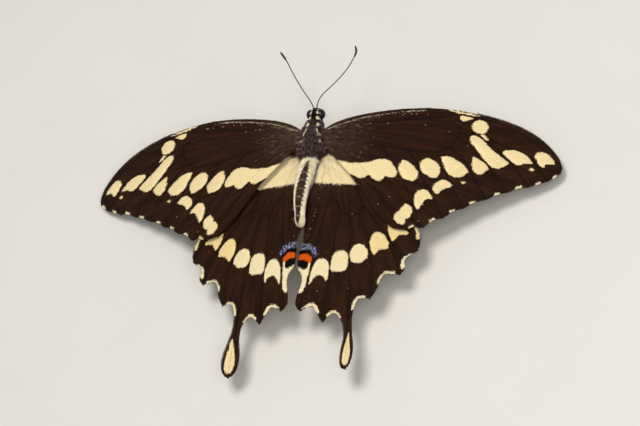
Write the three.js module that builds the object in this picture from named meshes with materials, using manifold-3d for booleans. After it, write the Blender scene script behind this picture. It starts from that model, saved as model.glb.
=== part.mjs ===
// A giant swallowtail butterfly at life size, standing with its wings spread.
//
// Millimetres, +Z up, the floor at z = 0.  The animal faces +Y and its own right side is +X.  The
// body is built in a frame of its own, with its origin midway between the roots of the forewings,
// and is then raised and tilted as one group.  The legs are built in the world, from the belly down
// to the floor.

import * as THREE from 'three';
import { mergeVertices } from 'three/addons/utils/BufferGeometryUtils.js';
import Module from 'manifold-3d';

const wasm = await Module();
wasm.setup();

const DEG = Math.PI / 180;
const GAP = 0.3;                      // air between two pieces that meet
const MERGE = 1e-4;                   // points closer than this are one point

// ---------------------------------------------------------------- stance
const WING_ROOT_HEIGHT = 14.6;        // forewing roots above the floor
const HEAD_UP = 4 * DEG;              // the whole body tilts nose up
const BODY_FORWARD = 20.9;            // puts the origin under the middle of the whole outline

// ---------------------------------------------------------------- body
const THORAX = {
  front: 4.25, rear: -6.8, centreZ: -1.0, tall: 1.03,
  flank: 3.0,                         // the sides are flat here, where the wings are hinged
  belly: -3.8,                        // and the underside is flat here, where the legs are hinged
  profile: [[-6.8, 1.95], [-6.2, 2.5], [-5.4, 3.05], [-4.5, 3.25], [-2, 3.3], [0, 3.3],
    [1.5, 3.1], [3.0, 2.6], [3.9, 2.15], [4.25, 1.85]],
};
const ABDOMEN = {
  front: -7.1, tip: -26.9, rings: 8, ringGroove: 0.12, tall: 1.1,
  radius: [[-7.1, 1.6], [-10, 1.88], [-14, 2.02], [-18, 1.93], [-22, 1.62], [-24.8, 1.33],
    [-26.2, 1.05], [-26.9, 0.5]],
  sway: [[-7.1, 0], [-12, -0.26], [-16, -0.36], [-21, -0.28], [-26.9, 0.2]],
  lift: [[-7.1, -0.7], [-12, 0.9], [-18, 2.0], [-23, 1.9], [-26.9, 1.0]],
};
const HEAD = {
  rear: 4.55, centreZ: -1.1,
  profile: [[4.55, 1.7], [5.2, 1.8], [6.2, 1.85], [7.1, 1.5], [7.7, 0.95], [8.0, 0.4]],
};
const EYE = { centre: [1.3, 6.2, -1.0], radius: 1.5, bulge: 0.88 };
const PALP = { low: [0.8, 6.9, -3.3], high: [0.75, 8.7, -1.9], radius: 0.3 };
const PROBOSCIS = {
  start: [0, 6.4, -3.25], centre: [0, 7.25, -4.6], radius: 0.25,
  outer: 1.2, pitch: 0.64, turns: 1.4,
};
const ANTENNA = {
  radius: 0.25, bossRadius: 0.36, clubRadius: 0.45, clubLength: 3.0,
  right: [[0.5, 7.95, 0.15], [0.85, 9.5, 0.35], [1.9, 11.1, 0.6], [4.0, 12.95, 0.95],
    [6.65, 15.4, 1.4], [8.75, 17.9, 1.8], [10.0, 20.1, 2.1], [10.7, 22.1, 2.35], [10.7, 23.5, 2.5]],
  left: [[-0.5, 7.95, 0.15], [-1.25, 9.3, 0.35], [-2.85, 11.5, 0.7], [-5.0, 14.6, 1.2],
    [-7.2, 18.2, 1.7], [-8.85, 21.1, 2.15], [-10.6, 23.4, 2.5]],
};

// ---------------------------------------------------------------- legs
const LEG = {
  hipX: 1.25, coxaRadius: 0.55, femurRadius: 0.46, tibiaRadius: 0.36, tarsusRadius: 0.29,
};
const JOINT = 1.15;                   // the ball at a joint is this much thicker than its limb
const FOOT = 0.21;                    // height of a foot's axis: less than its radius, so it has a flat
// hip is the place on the belly; knee, ankle, heel and toe are in the world, outward and forward of
// the point under the forewing roots
const LEG_PAIRS = [
  { name: 'front', hip: 2.3, knee: [6.2, 2.0, 10.8], ankle: [8.2, 5.2, 3.5],
    heel: [8.9, 6.4, FOOT], toe: [9.8, 8.6, FOOT] },
  { name: 'middle', hip: -0.7, knee: [7.0, -1.6, 11.4], ankle: [11.2, -2.8, 3.4],
    heel: [12.9, -3.4, FOOT], toe: [15.9, -4.4, FOOT] },
  { name: 'hind', hip: -3.7, knee: [5.6, -9.8, 9.6], ankle: [8.6, -17.4, 3.4],
    heel: [9.6, -20.6, FOOT], toe: [11.0, -24.4, FOOT] },
];

// ---------------------------------------------------------------- wings
// A wing is drawn flat in its own plane, outward (p) and forward (q) of its root.  The plane is bent
// to z = p|p|*span + p*q*skew + q*q*chord, hinged by three angles, and set at the root.
const WING = {
  thickness: 0.5, rib: 0.2, ribHalfWidth: 0.34, veinStep: 2.7, marginStep: 2,
  spanUnit: 60, chordUnit: 30,
};
const FORE_ROOT = [3.3, 0, 0];
const HIND_ROOT = [3.1, -4.5, -2.05];
// dihedral raises the tip, twist raises the leading edge and sweep turns the wing forward
const SETTING = {
  fore: {
    right: { dihedral: -6.1, twist: -3.9, sweep: 0.1, bend: [-4.2, -0.5, -1.3], tailTurn: 0, fold: 0 },
    left: { dihedral: -4.0, twist: -4.6, sweep: -0.1, bend: [-6.6, 3.7, -0.3], tailTurn: 0, fold: 0 },
  },
  hind: {
    right: { dihedral: -4.4, twist: -1.9, sweep: 0, bend: [-3.0, -0.3, 0.2], tailTurn: 37, fold: 0 },
    left: { dihedral: -5.9, twist: -7.2, sweep: 0, bend: [-2.8, 1.6, -1.4], tailTurn: 0, fold: 1 },
  },
};
const TAIL = { axis: 12.7, turnFrom: -46.5, turnTo: -53 };
// Beside the abdomen the hindwing's inner margin droops from this line, between these places.
const FOLD = { line: 0.2, depth: 0.2, from: -5, full: -10, until: -22, end: -28 };

// Places where veins leave the base, fork, or end on the margin.
const FORE_NODES = {
  baseFront: [0, 1.4], scBase: [0, 0.75], rBase: [0, 0], cuBase: [0, -0.9], aBase: [0, -1.8],
  baseRear: [0, -2.6],
  r1Fork: [20, 3.9], r2Fork: [27, 4.1], r3Fork: [32.5, 3.5], cellFront: [35.8, 1.6],
  r5Fork: [38.6, 0.6], m1Fork: [35.5, -1.2], m2Fork: [33.7, -4.1], m3Fork: [30.6, -5.6],
  cu1Fork: [22.5, -5], cu2Fork: [15, -3.7],
  scEnd: [27, 7.6], r1End: [37.5, 6.5], r2End: [47, 4.1], r3End: [62.5, -8.6],
  r4End: [59.1, -12.8], r5End: [54.6, -14.7], m1End: [49.5, -16.4], m2End: [44.1, -18.7],
  m3End: [38.6, -21.4], cu1End: [33.6, -24.1], cu2End: [28.5, -27], aEnd: [24.6, -27.5],
};
const FORE_VEINS = [
  ['scBase', [10, 4.5], [20, 6.1], 'scEnd'],
  ['rBase', [10, 2.6], 'r1Fork'],
  ['r1Fork', 'r2Fork'],
  ['r2Fork', 'r3Fork'],
  ['r3Fork', 'cellFront'],
  ['cellFront', 'r5Fork'],
  ['r1Fork', [28, 6.0], 'r1End'],
  ['r2Fork', [34, 5.7], [40, 5.4], 'r2End'],
  ['r3Fork', [36.2, 3.8], [41, 4.3], [47.5, 2.7], [54, -1.1], [59, -5.1], 'r3End'],
  ['r5Fork', [41.3, 0.1], [46.8, -3], [51.5, -4.4], [55, -7], [57.2, -10], 'r4End'],
  ['r5Fork', [41.5, -1.2], [45.5, -4.1], [49.6, -8.1], [52.2, -11.4], 'r5End'],
  ['cellFront', 'm1Fork'],
  ['m1Fork', 'm2Fork'],
  ['m2Fork', 'm3Fork'],
  ['m1Fork', [38.6, -3.4], [41.6, -6.6], [44.8, -10.3], 'm1End'],
  ['m2Fork', [37.2, -7.3], [39.5, -11], 'm2End'],
  ['m3Fork', [32, -8.5], [33.3, -11.8], [35.6, -16], 'm3End'],
  ['cuBase', [8, -2.4], 'cu2Fork'],
  ['cu2Fork', 'cu1Fork'],
  ['cu1Fork', 'm3Fork'],
  ['cu1Fork', [24.8, -8], [27, -12], [30.2, -18], 'cu1End'],
  ['cu2Fork', [18.5, -7.2], [20.9, -11.2], [23.5, -16], [26, -21.8], 'cu2End'],
  ['aBase', [7, -6], [13.2, -12.6], [17.3, -19], [20.8, -24.2], 'aEnd'],
];
const FORE_MARGIN = [
  ['baseFront', [2, 2.8], [5, 4.2], [9, 5.4], [14, 6.4], [20, 7.2], 'scEnd'],
  ['scEnd', [32, 7.3], 'r1End'],
  ['r1End', [42, 5.5], 'r2End'],
  ['r2End', [51, 2.5], [54.5, 0.6], [57.5, -1.6], [60, -4.2], [61.7, -6.5], 'r3End'],
  ['r3End', [62.2, -10.3], [60.9, -11.6], 'r4End'],
  ['r4End', [57.0, -13.6], 'r5End'],
  ['r5End', [52.1, -15.0], 'm1End'],
  ['m1End', [46.9, -17.1], 'm2End'],
  ['m2End', [41.2, -19.6], 'm3End'],
  ['m3End', [36, -22.2], 'cu1End'],
  ['cu1End', [31.2, -24.8], 'cu2End'],
  ['cu2End', [26.6, -26.6], 'aEnd'],
  ['aEnd', [22.2, -27.3], [20, -26.2], [17.2, -23.5], [14, -19.2], [11, -15.1], [7.5, -10.8],
    [4, -7], [1.5, -4.3], 'baseRear'],
  ['baseRear', [-0.08, -2.2], 'aBase'],
  ['aBase', 'cuBase'],
  ['cuBase', 'rBase'],
  ['rBase', 'scBase'],
  ['scBase', [-0.08, 1.1], 'baseFront'],
];

const HIND_NODES = {
  baseFront: [0.2, 1.0], scBase: [0.2, 0.5], rBase: [0.2, 0], cuBase: [0.2, -0.6],
  aBase: [0.2, -1.15], baseRear: [0.2, -1.7],
  rsFork: [9.2, -8.6], m1Fork: [12.6, -15.8], m2Fork: [11.4, -18.1], m3Fork: [8.8, -18.6],
  cu1Fork: [6.6, -16.8], cu2Fork: [3.6, -11.8],
  scEnd: [27.5, -20.6], rsEnd: [28.2, -27.2], m1End: [24.0, -35.2], m2End: [17.0, -41.9],
  tailTip: [13.2, -61.5], cu1End: [5.1, -48.2], cu2End: [-1.0, -45.1], aEnd: [-3.3, -31.2],
};
const HIND_VEINS = [
  ['scBase', [6, 0.6], [14, -3.2], [22, -10.8], 'scEnd'],
  ['rBase', [4.6, -3], 'rsFork'],
  ['rsFork', [15, -11.6], [22, -18.6], 'rsEnd'],
  ['rsFork', 'm1Fork'],
  ['m1Fork', 'm2Fork'],
  ['m2Fork', 'm3Fork'],
  ['m3Fork', 'cu1Fork'],
  ['m1Fork', [17.5, -21.8], [20.3, -26], 'm1End'],
  ['m2Fork', [14.3, -24.5], [15.6, -29], [16.9, -35], 'm2End'],
  ['m3Fork', [10, -25], [10.6, -31], [11.6, -40], [11.9, -47], [12.6, -55], 'tailTip'],
  ['cuBase', [2.3, -5.2], 'cu2Fork'],
  ['cu2Fork', 'cu1Fork'],
  ['cu1Fork', [5.9, -24], [5.7, -32], [5.4, -40], 'cu1End'],
  ['cu2Fork', [1.8, -21], [0.6, -30], [-0.4, -38], 'cu2End'],
  ['aBase', [1.0, -4], [0.7, -8], [0.3, -12], [0, -16], [-0.6, -20], [-1.5, -25], 'aEnd'],
];
const HIND_MARGIN = [
  ['baseFront', [3, 2], [7, 2.1], [12, 0.6], [17, -3.2], [21.5, -8.2], [25, -13.6], 'scEnd'],
  ['scEnd', [27.2, -22.9], [28.1, -24.6], 'rsEnd'],
  ['rsEnd', [27.4, -29], [25.6, -30], [24.6, -31.8], [25, -33.8], 'm1End'],
  ['m1End', [22, -34.9], [20.1, -35], [19, -36.6], [18.4, -39.4], 'm2End'],
  ['m2End', [15.4, -41.7], [13.9, -42.1], [13, -44.3], [12.9, -48.4], [14, -52.4], [15.1, -55.6],
    [15.3, -58.2], [14.7, -60.3], 'tailTip'],
  ['tailTip', [11.6, -60.7], [10.7, -58.9], [10.5, -56], [11.1, -52], [10.8, -48.8], [9.6, -46.6],
    [8.2, -45.8], [6.9, -46.5], 'cu1End'],
  ['cu1End', [4, -46], [2.3, -43.9], [0.5, -44.4], 'cu2End'],
  ['cu2End', [-2.3, -43.8], [-2.3, -41.4], [-1.5, -38.4], [-1.6, -35.6], [-2.8, -33.6], 'aEnd'],
  ['aEnd', [-3.0, -28.6], [-2.5, -25.8], [-2.5, -23], [-2.85, -19], [-2.95, -15], [-2.6, -12.2],
    [-1.85, -9.8], [-1.0, -6.5], [-0.6, -4.0], 'baseRear'],
  ['baseRear', [0.15, -1.42], 'aBase'],
  ['aBase', 'cuBase'],
  ['cuBase', 'rBase'],
  ['rBase', 'scBase'],
  ['scBase', [0.15, 0.75], 'baseFront'],
];

// ---------------------------------------------------------------- materials
const FINISH = {
  wing: { color: 0x33211a, roughness: 0.85, metalness: 0 },
  body: { color: 0x2b1d17, roughness: 0.9, metalness: 0 },
  abdomen: { color: 0xe9dcb4, roughness: 0.85, metalness: 0 },
  eye: { color: 0x140f0d, roughness: 0.15, metalness: 0 },
  horn: { color: 0x18100d, roughness: 0.45, metalness: 0 },
};

// ================================================================ solids
// Leaves only positions, welds equal points and drops triangles that lost their area.
function weld(geometry) {
  geometry.deleteAttribute('normal');
  geometry.deleteAttribute('uv');
  const welded = mergeVertices(geometry, MERGE);
  const old = welded.index.array;
  const kept = [];
  for (let i = 0; i < old.length; i += 3) {
    const [a, b, c] = [old[i], old[i + 1], old[i + 2]];
    if (a !== b && b !== c && c !== a) kept.push(a, b, c);
  }
  welded.setIndex(kept);
  return welded;
}

function toManifold(geometry) {
  const welded = weld(geometry.clone());
  const mesh = new wasm.Mesh({
    numProp: 3,
    vertProperties: new Float32Array(welded.attributes.position.array),
    triVerts: new Uint32Array(welded.index.array),
  });
  return new wasm.Manifold(mesh);
}

// The largest closed surface of a solid, so that no scrap or sealed hollow stays behind.
function toGeometry(solid) {
  const largest = solid.decompose().sort((a, b) => b.volume() - a.volume())[0];
  const mesh = largest.getMesh();
  const geometry = new THREE.BufferGeometry();
  geometry.setAttribute('position', new THREE.Float32BufferAttribute(mesh.vertProperties, 3));
  geometry.setIndex(Array.from(mesh.triVerts));
  return geometry;
}

function union(geometries) {
  const solids = geometries.map(toManifold);
  return solids.slice(1).reduce((sum, solid) => sum.add(solid), solids[0]);
}

function box(min, max) {
  const [dx, dy, dz] = max.map((value, axis) => value - min[axis]);
  const geometry = new THREE.BoxGeometry(dx, dy, dz);
  return geometry.translate((min[0] + max[0]) / 2, (min[1] + max[1]) / 2, (min[2] + max[2]) / 2);
}

// Reads a list of [place, value] pairs as a smooth curve.
function along(pairs, place) {
  const rising = pairs[0][0] < pairs[pairs.length - 1][0];
  const list = rising ? pairs : [...pairs].reverse();
  if (place <= list[0][0]) return list[0][1];
  for (let i = 1; i < list.length; i += 1) {
    if (place > list[i][0]) continue;
    const t = (place - list[i - 1][0]) / (list[i][0] - list[i - 1][0]);
    const before = list[Math.max(i - 2, 0)];
    const after = list[Math.min(i + 1, list.length - 1)];
    const slopeIn = (list[i][1] - before[1]) / (list[i][0] - before[0]);
    const slopeOut = (after[1] - list[i - 1][1]) / (after[0] - list[i - 1][0]);
    const span = list[i][0] - list[i - 1][0];
    const t2 = t * t;
    const t3 = t2 * t;
    return (2 * t3 - 3 * t2 + 1) * list[i - 1][1] + (t3 - 2 * t2 + t) * span * slopeIn
      + (3 * t2 - 2 * t3) * list[i][1] + (t3 - t2) * span * slopeOut;
  }
  return list[list.length - 1][1];
}

// A round body along Y, closed by flat ends, from pairs of [y, radius] that run forward.
function turned(profile, segments, tall) {
  const first = profile[0];
  const last = profile[profile.length - 1];
  const points = [[first[0], 0], ...profile, [last[0], 0]].map(([y, r]) => new THREE.Vector2(r, y));
  const geometry = new THREE.LatheGeometry(points, segments);
  return geometry.scale(1, 1, tall);
}

// A tube of even thickness through a list of points, closed by its two ends.
function tube(points, radius, sides, steps) {
  const corners = [];
  for (let i = 0; i < sides; i += 1) {
    const angle = (2 * Math.PI * i) / sides;
    corners.push(new THREE.Vector2(radius * Math.cos(angle), radius * Math.sin(angle)));
  }
  const path = new THREE.CatmullRomCurve3(points, false, 'centripetal');
  return new THREE.ExtrudeGeometry(new THREE.Shape(corners), { steps, extrudePath: path });
}

// A straight rod that narrows from one point to another.
function rod(from, to, radiusFrom, radiusTo, sides) {
  const direction = to.clone().sub(from);
  const geometry = new THREE.CylinderGeometry(radiusTo, radiusFrom, direction.length(), sides);
  const turn = new THREE.Quaternion().setFromUnitVectors(
    new THREE.Vector3(0, 1, 0), direction.clone().normalize());
  const middle = from.clone().add(to).multiplyScalar(0.5);
  return geometry.applyQuaternion(turn).translate(middle.x, middle.y, middle.z);
}

function ball(centre, radius) {
  return new THREE.SphereGeometry(radius, 8, 5).translate(centre.x, centre.y, centre.z);
}

function vector(list, mirror = 1) {
  return new THREE.Vector3(list[0] * mirror, list[1], list[2]);
}

function node(name, geometry, finish) {
  const mesh = new THREE.Mesh(geometry, new THREE.MeshStandardMaterial(FINISH[finish]));
  mesh.name = name;
  return mesh;
}

// ================================================================ wings
// Every vein and every stretch of margin is one edge of a flat net.  The cells of the net are traced,
// each is bordered by narrow strips that climb to the crests of its veins, and what is left of it
// inside the strips is filled flat.

const key = (point) => `${Math.round(point.x * 1e4)},${Math.round(point.y * 1e4)}`;

function place(nodes, item) {
  const pair = typeof item === 'string' ? nodes[item] : item;
  return new THREE.Vector3(pair[0], pair[1], 0);
}

// Points along an edge: even steps, and on the margin one more point close to each end, where the
// foot of a vein's ridge reaches the margin.
function samplePath(nodes, items, step, foot) {
  const curve = new THREE.CatmullRomCurve3(items.map((item) => place(nodes, item)), false, 'centripetal');
  const length = curve.getLength();
  const ends = foot > 0 ? Math.min(foot, 0.36 * length) : 0;
  const count = Math.max(Math.round((length - 2 * ends) / step), foot > 0 ? 1 : 2);
  const distances = [0];
  for (let i = ends > 0 ? 0 : 1; i <= (ends > 0 ? count : count - 1); i += 1) {
    distances.push(ends + ((length - 2 * ends) * i) / count);
  }
  distances.push(length);
  return distances.map((distance) => {
    const point = curve.getPointAt(distance / length);
    return new THREE.Vector2(point.x, point.y);
  });
}

// Half-edges in both directions, each knowing whether it runs along a vein.
function buildNet(nodes, veins, margin) {
  const halves = [];
  const addEdge = (points, isVein) => {
    const forward = { points, isVein };
    const back = { points: [...points].reverse(), isVein };
    forward.twin = back;
    back.twin = forward;
    halves.push(forward, back);
  };
  veins.forEach((items) => addEdge(samplePath(nodes, items, WING.veinStep, 0), true));
  margin.forEach((items) => {
    addEdge(samplePath(nodes, items, WING.marginStep, WING.ribHalfWidth), false);
  });
  return halves;
}

// Walks round each cell counterclockwise and returns its corners.
function traceCells(halves) {
  const leaving = new Map();
  for (const half of halves) {
    const start = key(half.points[0]);
    const [a, b] = half.points;
    half.angle = Math.atan2(b.y - a.y, b.x - a.x);
    if (!leaving.has(start)) leaving.set(start, []);
    leaving.get(start).push(half);
  }
  for (const list of leaving.values()) list.sort((a, b) => a.angle - b.angle);
  const cells = [];
  const used = new Set();
  for (const first of halves) {
    if (used.has(first)) continue;
    const corners = [];
    let half = first;
    while (!used.has(half)) {
      used.add(half);
      for (let i = 0; i < half.points.length - 1; i += 1) {
        corners.push({ point: half.points[i], onVein: half.isVein });
      }
      const list = leaving.get(key(half.twin.points[0]));
      const turn = list.indexOf(half.twin);
      half = list[(turn + list.length - 1) % list.length];
    }
    if (THREE.ShapeUtils.area(corners.map((corner) => corner.point)) > 0) cells.push(corners);
  }
  return cells;
}

function distanceToSegment(point, a, b) {
  const side = b.clone().sub(a);
  const t = THREE.MathUtils.clamp(point.clone().sub(a).dot(side) / side.lengthSq(), 0, 1);
  return point.distanceTo(a.clone().addScaledVector(side, t));
}

// How far the cell lets a point on its border move inward: a share of the room in front of it.
function roomAt(corners, index) {
  const count = corners.length;
  let room = Infinity;
  for (let i = 0; i < count; i += 1) {
    const next = (i + 1) % count;
    if (i === index || next === index) continue;
    room = Math.min(room, distanceToSegment(corners[index].point, corners[i].point, corners[next].point));
  }
  return room;
}

// The foot of the ridge beside each corner of a cell: inward of a vein, or on the margin itself.
function insetCell(corners) {
  const count = corners.length;
  return corners.map((corner, index) => {
    const before = corners[(index + count - 1) % count];
    const after = corners[(index + 1) % count];
    if (!before.onVein && !corner.onVein) return corner.point;
    if (!corner.onVein) return after.point;
    if (!before.onVein) return before.point;
    const into = corner.point.clone().sub(before.point).normalize();
    const away = after.point.clone().sub(corner.point).normalize();
    const inward = new THREE.Vector2(-into.y - away.y, into.x + away.x).normalize();
    const width = Math.min(WING.ribHalfWidth, 0.26 * roomAt(corners, index));
    return corner.point.clone().addScaledVector(inward, width);
  });
}

// Above zero when d lies inside the circle through a, b and c.
function insideCircle(a, b, c, d) {
  const rows = [a, b, c].map((point) => {
    const x = point.x - d.x;
    const y = point.y - d.y;
    return [x, y, x * x + y * y];
  });
  const [[ax, ay, aw], [bx, by, bw], [cx, cy, cw]] = rows;
  return ax * (by * cw - bw * cy) - ay * (bx * cw - bw * cx) + aw * (bx * cy - by * cx);
}

// Finds one diagonal whose two triangles are better cut the other way, and swaps it.
function swapOneDiagonal(points, faces) {
  const across = new Map();
  faces.forEach((face, index) => {
    face.forEach((a, i) => across.set(`${a}>${face[(i + 1) % 3]}`, { index, far: face[(i + 2) % 3] }));
  });
  for (let index = 0; index < faces.length; index += 1) {
    for (let i = 0; i < 3; i += 1) {
      const [a, b, c] = [faces[index][i], faces[index][(i + 1) % 3], faces[index][(i + 2) % 3]];
      const other = across.get(`${b}>${a}`);
      if (!other) continue;
      const d = other.far;
      if (insideCircle(points[a], points[b], points[c], points[d]) > 1e-6) {
        faces[index] = [a, d, c];
        faces[other.index] = [d, b, c];
        return true;
      }
    }
  }
  return false;
}

// Fills a ring with triangles that are as round as its corners allow.
function fillRing(ring) {
  const faces = THREE.ShapeUtils.triangulateShape(ring, []);
  let swapsLeft = 40 * faces.length;
  while (swapsLeft > 0 && swapOneDiagonal(ring, faces)) swapsLeft -= 1;
  return faces;
}

// The flat pattern of a wing as triangles of {point, rise}, and the border segments in order.
function flatPattern(nodes, veins, margin) {
  const triangles = [];
  const border = [];
  const onMargin = new Set();
  margin.forEach((items) => {
    onMargin.add(key(place(nodes, items[0])));
  });
  for (const corners of traceCells(buildNet(nodes, veins, margin))) {
    const inset = insetCell(corners);
    const vertex = (index) => {
      const { point } = corners[index];
      const touchesVein = corners[index].onVein || corners[(index + corners.length - 1) % corners.length].onVein;
      if (!touchesVein) return { point, rise: 0 };
      return { point, rise: onMargin.has(key(point)) ? 0.4 * WING.rib : WING.rib };
    };
    corners.forEach((corner, index) => {
      const next = (index + 1) % corners.length;
      if (!corner.onVein) {
        border.push([vertex(index), vertex(next)]);
        return;
      }
      const foot = { point: inset[index], rise: 0 };
      const nextFoot = { point: inset[next], rise: 0 };
      triangles.push([vertex(index), vertex(next), nextFoot], [vertex(index), nextFoot, foot]);
    });
    const ring = inset.filter((point, index) => {
      const previous = inset[(index + inset.length - 1) % inset.length];
      return key(point) !== key(previous);
    });
    for (const face of fillRing(ring)) {
      triangles.push(face.map((index) => ({ point: ring[index], rise: 0 })));
    }
  }
  return { triangles, border };
}

// How far the inner margin droops at a place, and its slope there.
function droop(setting, point) {
  const { smoothstep } = THREE.MathUtils;
  const { line, depth, from, full, until, end } = FOLD;
  const share = setting.fold * smoothstep(-point.y, -from, -full) * (1 - smoothstep(-point.y, -until, -end));
  const past = Math.max(0, line - point.x);
  return { drop: share * depth * past * past, slope: 2 * share * depth * past };
}

// The bent middle surface of a wing, with the tail turned about its own length.  The offset raises a
// point square to the surface.
function onSurface(setting, point, offset) {
  const p = point.x / WING.spanUnit;
  const q = point.y / WING.chordUnit;
  const [span, skew, chord] = setting.bend;
  const { drop, slope } = droop(setting, point);
  const height = span * p * Math.abs(p) + skew * p * q + chord * q * q - drop;
  const turn = setting.tailTurn * DEG
    * THREE.MathUtils.smoothstep(-point.y, -TAIL.turnFrom, -TAIL.turnTo);
  const lean = turn + Math.atan(slope);
  const fromAxis = turn === 0 ? 0 : point.x - TAIL.axis;
  return [
    point.x - fromAxis * (1 - Math.cos(turn)) - offset * Math.sin(lean),
    point.y,
    height + fromAxis * Math.sin(turn) + offset * Math.cos(lean),
  ];
}

function wingGeometry(pattern, setting, mirror) {
  const positions = [];
  const half = WING.thickness / 2;
  const upper = ({ point, rise }) => onSurface(setting, point, half + rise);
  const lower = ({ point, rise }) => onSurface(setting, point, -half - rise / 2);
  const push = (a, b, c) => {
    const order = mirror > 0 ? [a, b, c] : [a, c, b];
    order.forEach(([x, y, z]) => positions.push(x * mirror, y, z));
  };
  for (const [a, b, c] of pattern.triangles) {
    push(upper(a), upper(b), upper(c));
    push(lower(a), lower(c), lower(b));
  }
  for (const [a, b] of pattern.border) {
    push(lower(a), lower(b), upper(b));
    push(lower(a), upper(b), upper(a));
  }
  const geometry = new THREE.BufferGeometry();
  geometry.setAttribute('position', new THREE.Float32BufferAttribute(positions, 3));
  return weld(geometry);
}

function wing(kind, side) {
  const mirror = side === 'right' ? 1 : -1;
  const fore = kind === 'fore';
  const pattern = fore
    ? flatPattern(FORE_NODES, FORE_VEINS, FORE_MARGIN)
    : flatPattern(HIND_NODES, HIND_VEINS, HIND_MARGIN);
  const setting = SETTING[kind][side];
  const mesh = node(`${kind}wing_${side}`, wingGeometry(pattern, setting, mirror), 'wing');
  mesh.position.copy(vector(fore ? FORE_ROOT : HIND_ROOT, mirror));
  mesh.rotation.set(
    setting.twist * DEG, -setting.dihedral * DEG * mirror, setting.sweep * DEG * mirror, 'ZYX');
  return mesh;
}

// ================================================================ body
function thorax() {
  const { front, rear, flank, belly, centreZ, tall, profile } = THORAX;
  const whole = toManifold(turned(profile, 22, tall).translate(0, 0, centreZ));
  const limits = toManifold(box([-flank, rear - 1, belly], [flank, front + 1, 10]));
  return node('thorax', toGeometry(whole.intersect(limits)), 'body');
}

// The rings of the abdomen are shallow grooves; the whole is then swayed and lifted along curves.
function abdomen() {
  const { front, tip, rings, ringGroove, radius, sway, lift, tall } = ABDOMEN;
  const length = (front - tip) / rings;
  const profile = [[tip, along(radius, tip)]];
  for (let i = rings - 1; i >= 0; i -= 1) {
    const ringFront = front - i * length;
    profile.push([ringFront - 0.4 * length, along(radius, ringFront - 0.4 * length)]);
    const groove = i === 0 ? 0 : ringGroove;
    profile.push([ringFront, along(radius, ringFront) - groove]);
  }
  const geometry = turned(profile, 16, tall);
  const position = geometry.attributes.position;
  for (let i = 0; i < position.count; i += 1) {
    position.setX(i, position.getX(i) + along(sway, position.getY(i)));
    position.setZ(i, position.getZ(i) + along(lift, position.getY(i)));
  }
  return node('abdomen', weld(geometry), 'abdomen');
}

// The outer half of an egg, flat towards the middle of the head; clearance makes its socket.
function eyeSolid(mirror, clearance) {
  const [x, y, z] = EYE.centre;
  const radius = EYE.radius + clearance;
  const egg = new THREE.SphereGeometry(radius, 18, 12).scale(EYE.bulge, 1, 1);
  const inner = x - clearance;
  const keep = mirror > 0 ? box([inner, 0, -9], [9, 12, 9]) : box([-9, 0, -9], [-inner, 12, 9]);
  return toManifold(egg.translate(x * mirror, y, z)).intersect(toManifold(keep));
}

function eye(side) {
  return node(`eye_${side}`, toGeometry(eyeSolid(side === 'right' ? 1 : -1, 0)), 'eye');
}

// Short rods on the brow carry the antennae, and end a gap before them.
function browBoss(path) {
  const [start, next] = path.map((point) => vector(point));
  const direction = next.clone().sub(start).normalize();
  const end = start.clone().addScaledVector(direction, -GAP);
  return rod(end.clone().addScaledVector(direction, -1.3), end, ANTENNA.bossRadius,
    ANTENNA.bossRadius, 8);
}

function head() {
  const skull = turned(HEAD.profile, 20, 1).translate(0, 0, HEAD.centreZ);
  const whole = union([skull, browBoss(ANTENNA.right), browBoss(ANTENNA.left)]);
  const cut = whole.subtract(eyeSolid(1, GAP)).subtract(eyeSolid(-1, GAP));
  return node('head', toGeometry(cut), 'body');
}

// A thin shaft that ends in a slender club.
function antenna(side) {
  const points = ANTENNA[side].map((point) => vector(point));
  const shaft = tube(points, ANTENNA.radius, 6, 20);
  const tip = points[points.length - 1];
  const inward = points[points.length - 2].clone().sub(tip).normalize();
  const { clubLength, clubRadius, radius } = ANTENNA;
  const profile = [[-clubLength, 0.1], [-clubLength * 0.8, radius + 0.06],
    [-clubLength * 0.35, clubRadius], [-0.1 * clubLength, clubRadius * 0.85], [0.25, 0.2]];
  const club = turned(profile, 8, 1);
  club.applyQuaternion(new THREE.Quaternion().setFromUnitVectors(
    new THREE.Vector3(0, -1, 0), inward));
  club.translate(tip.x, tip.y, tip.z);
  return node(`antenna_${side}`, toGeometry(union([shaft, club])), 'horn');
}

function palp(side) {
  const mirror = side === 'right' ? 1 : -1;
  const low = vector(PALP.low, mirror);
  const high = vector(PALP.high, mirror);
  const length = high.distanceTo(low);
  const geometry = new THREE.CapsuleGeometry(PALP.radius, length, 3, 8);
  geometry.applyQuaternion(new THREE.Quaternion().setFromUnitVectors(
    new THREE.Vector3(0, 1, 0), high.clone().sub(low).normalize()));
  const middle = low.add(high).multiplyScalar(0.5);
  return node(`palp_${side}`, weld(geometry.translate(middle.x, middle.y, middle.z)), 'body');
}

// The tongue hangs from the face and rolls up below it.
function proboscis() {
  const { start, centre, outer, pitch, turns, radius } = PROBOSCIS;
  const points = [vector(start)];
  const steps = 18;
  for (let i = 0; i <= steps; i += 1) {
    const turn = (turns * i) / steps;
    const angle = Math.PI * (0.86 + 2 * turn);
    const reach = outer - pitch * turn;
    points.push(new THREE.Vector3(
      0, centre[1] + reach * Math.cos(angle), centre[2] + reach * Math.sin(angle)));
  }
  return node('proboscis', weld(tube(points, radius, 6, 34)), 'horn');
}

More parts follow.
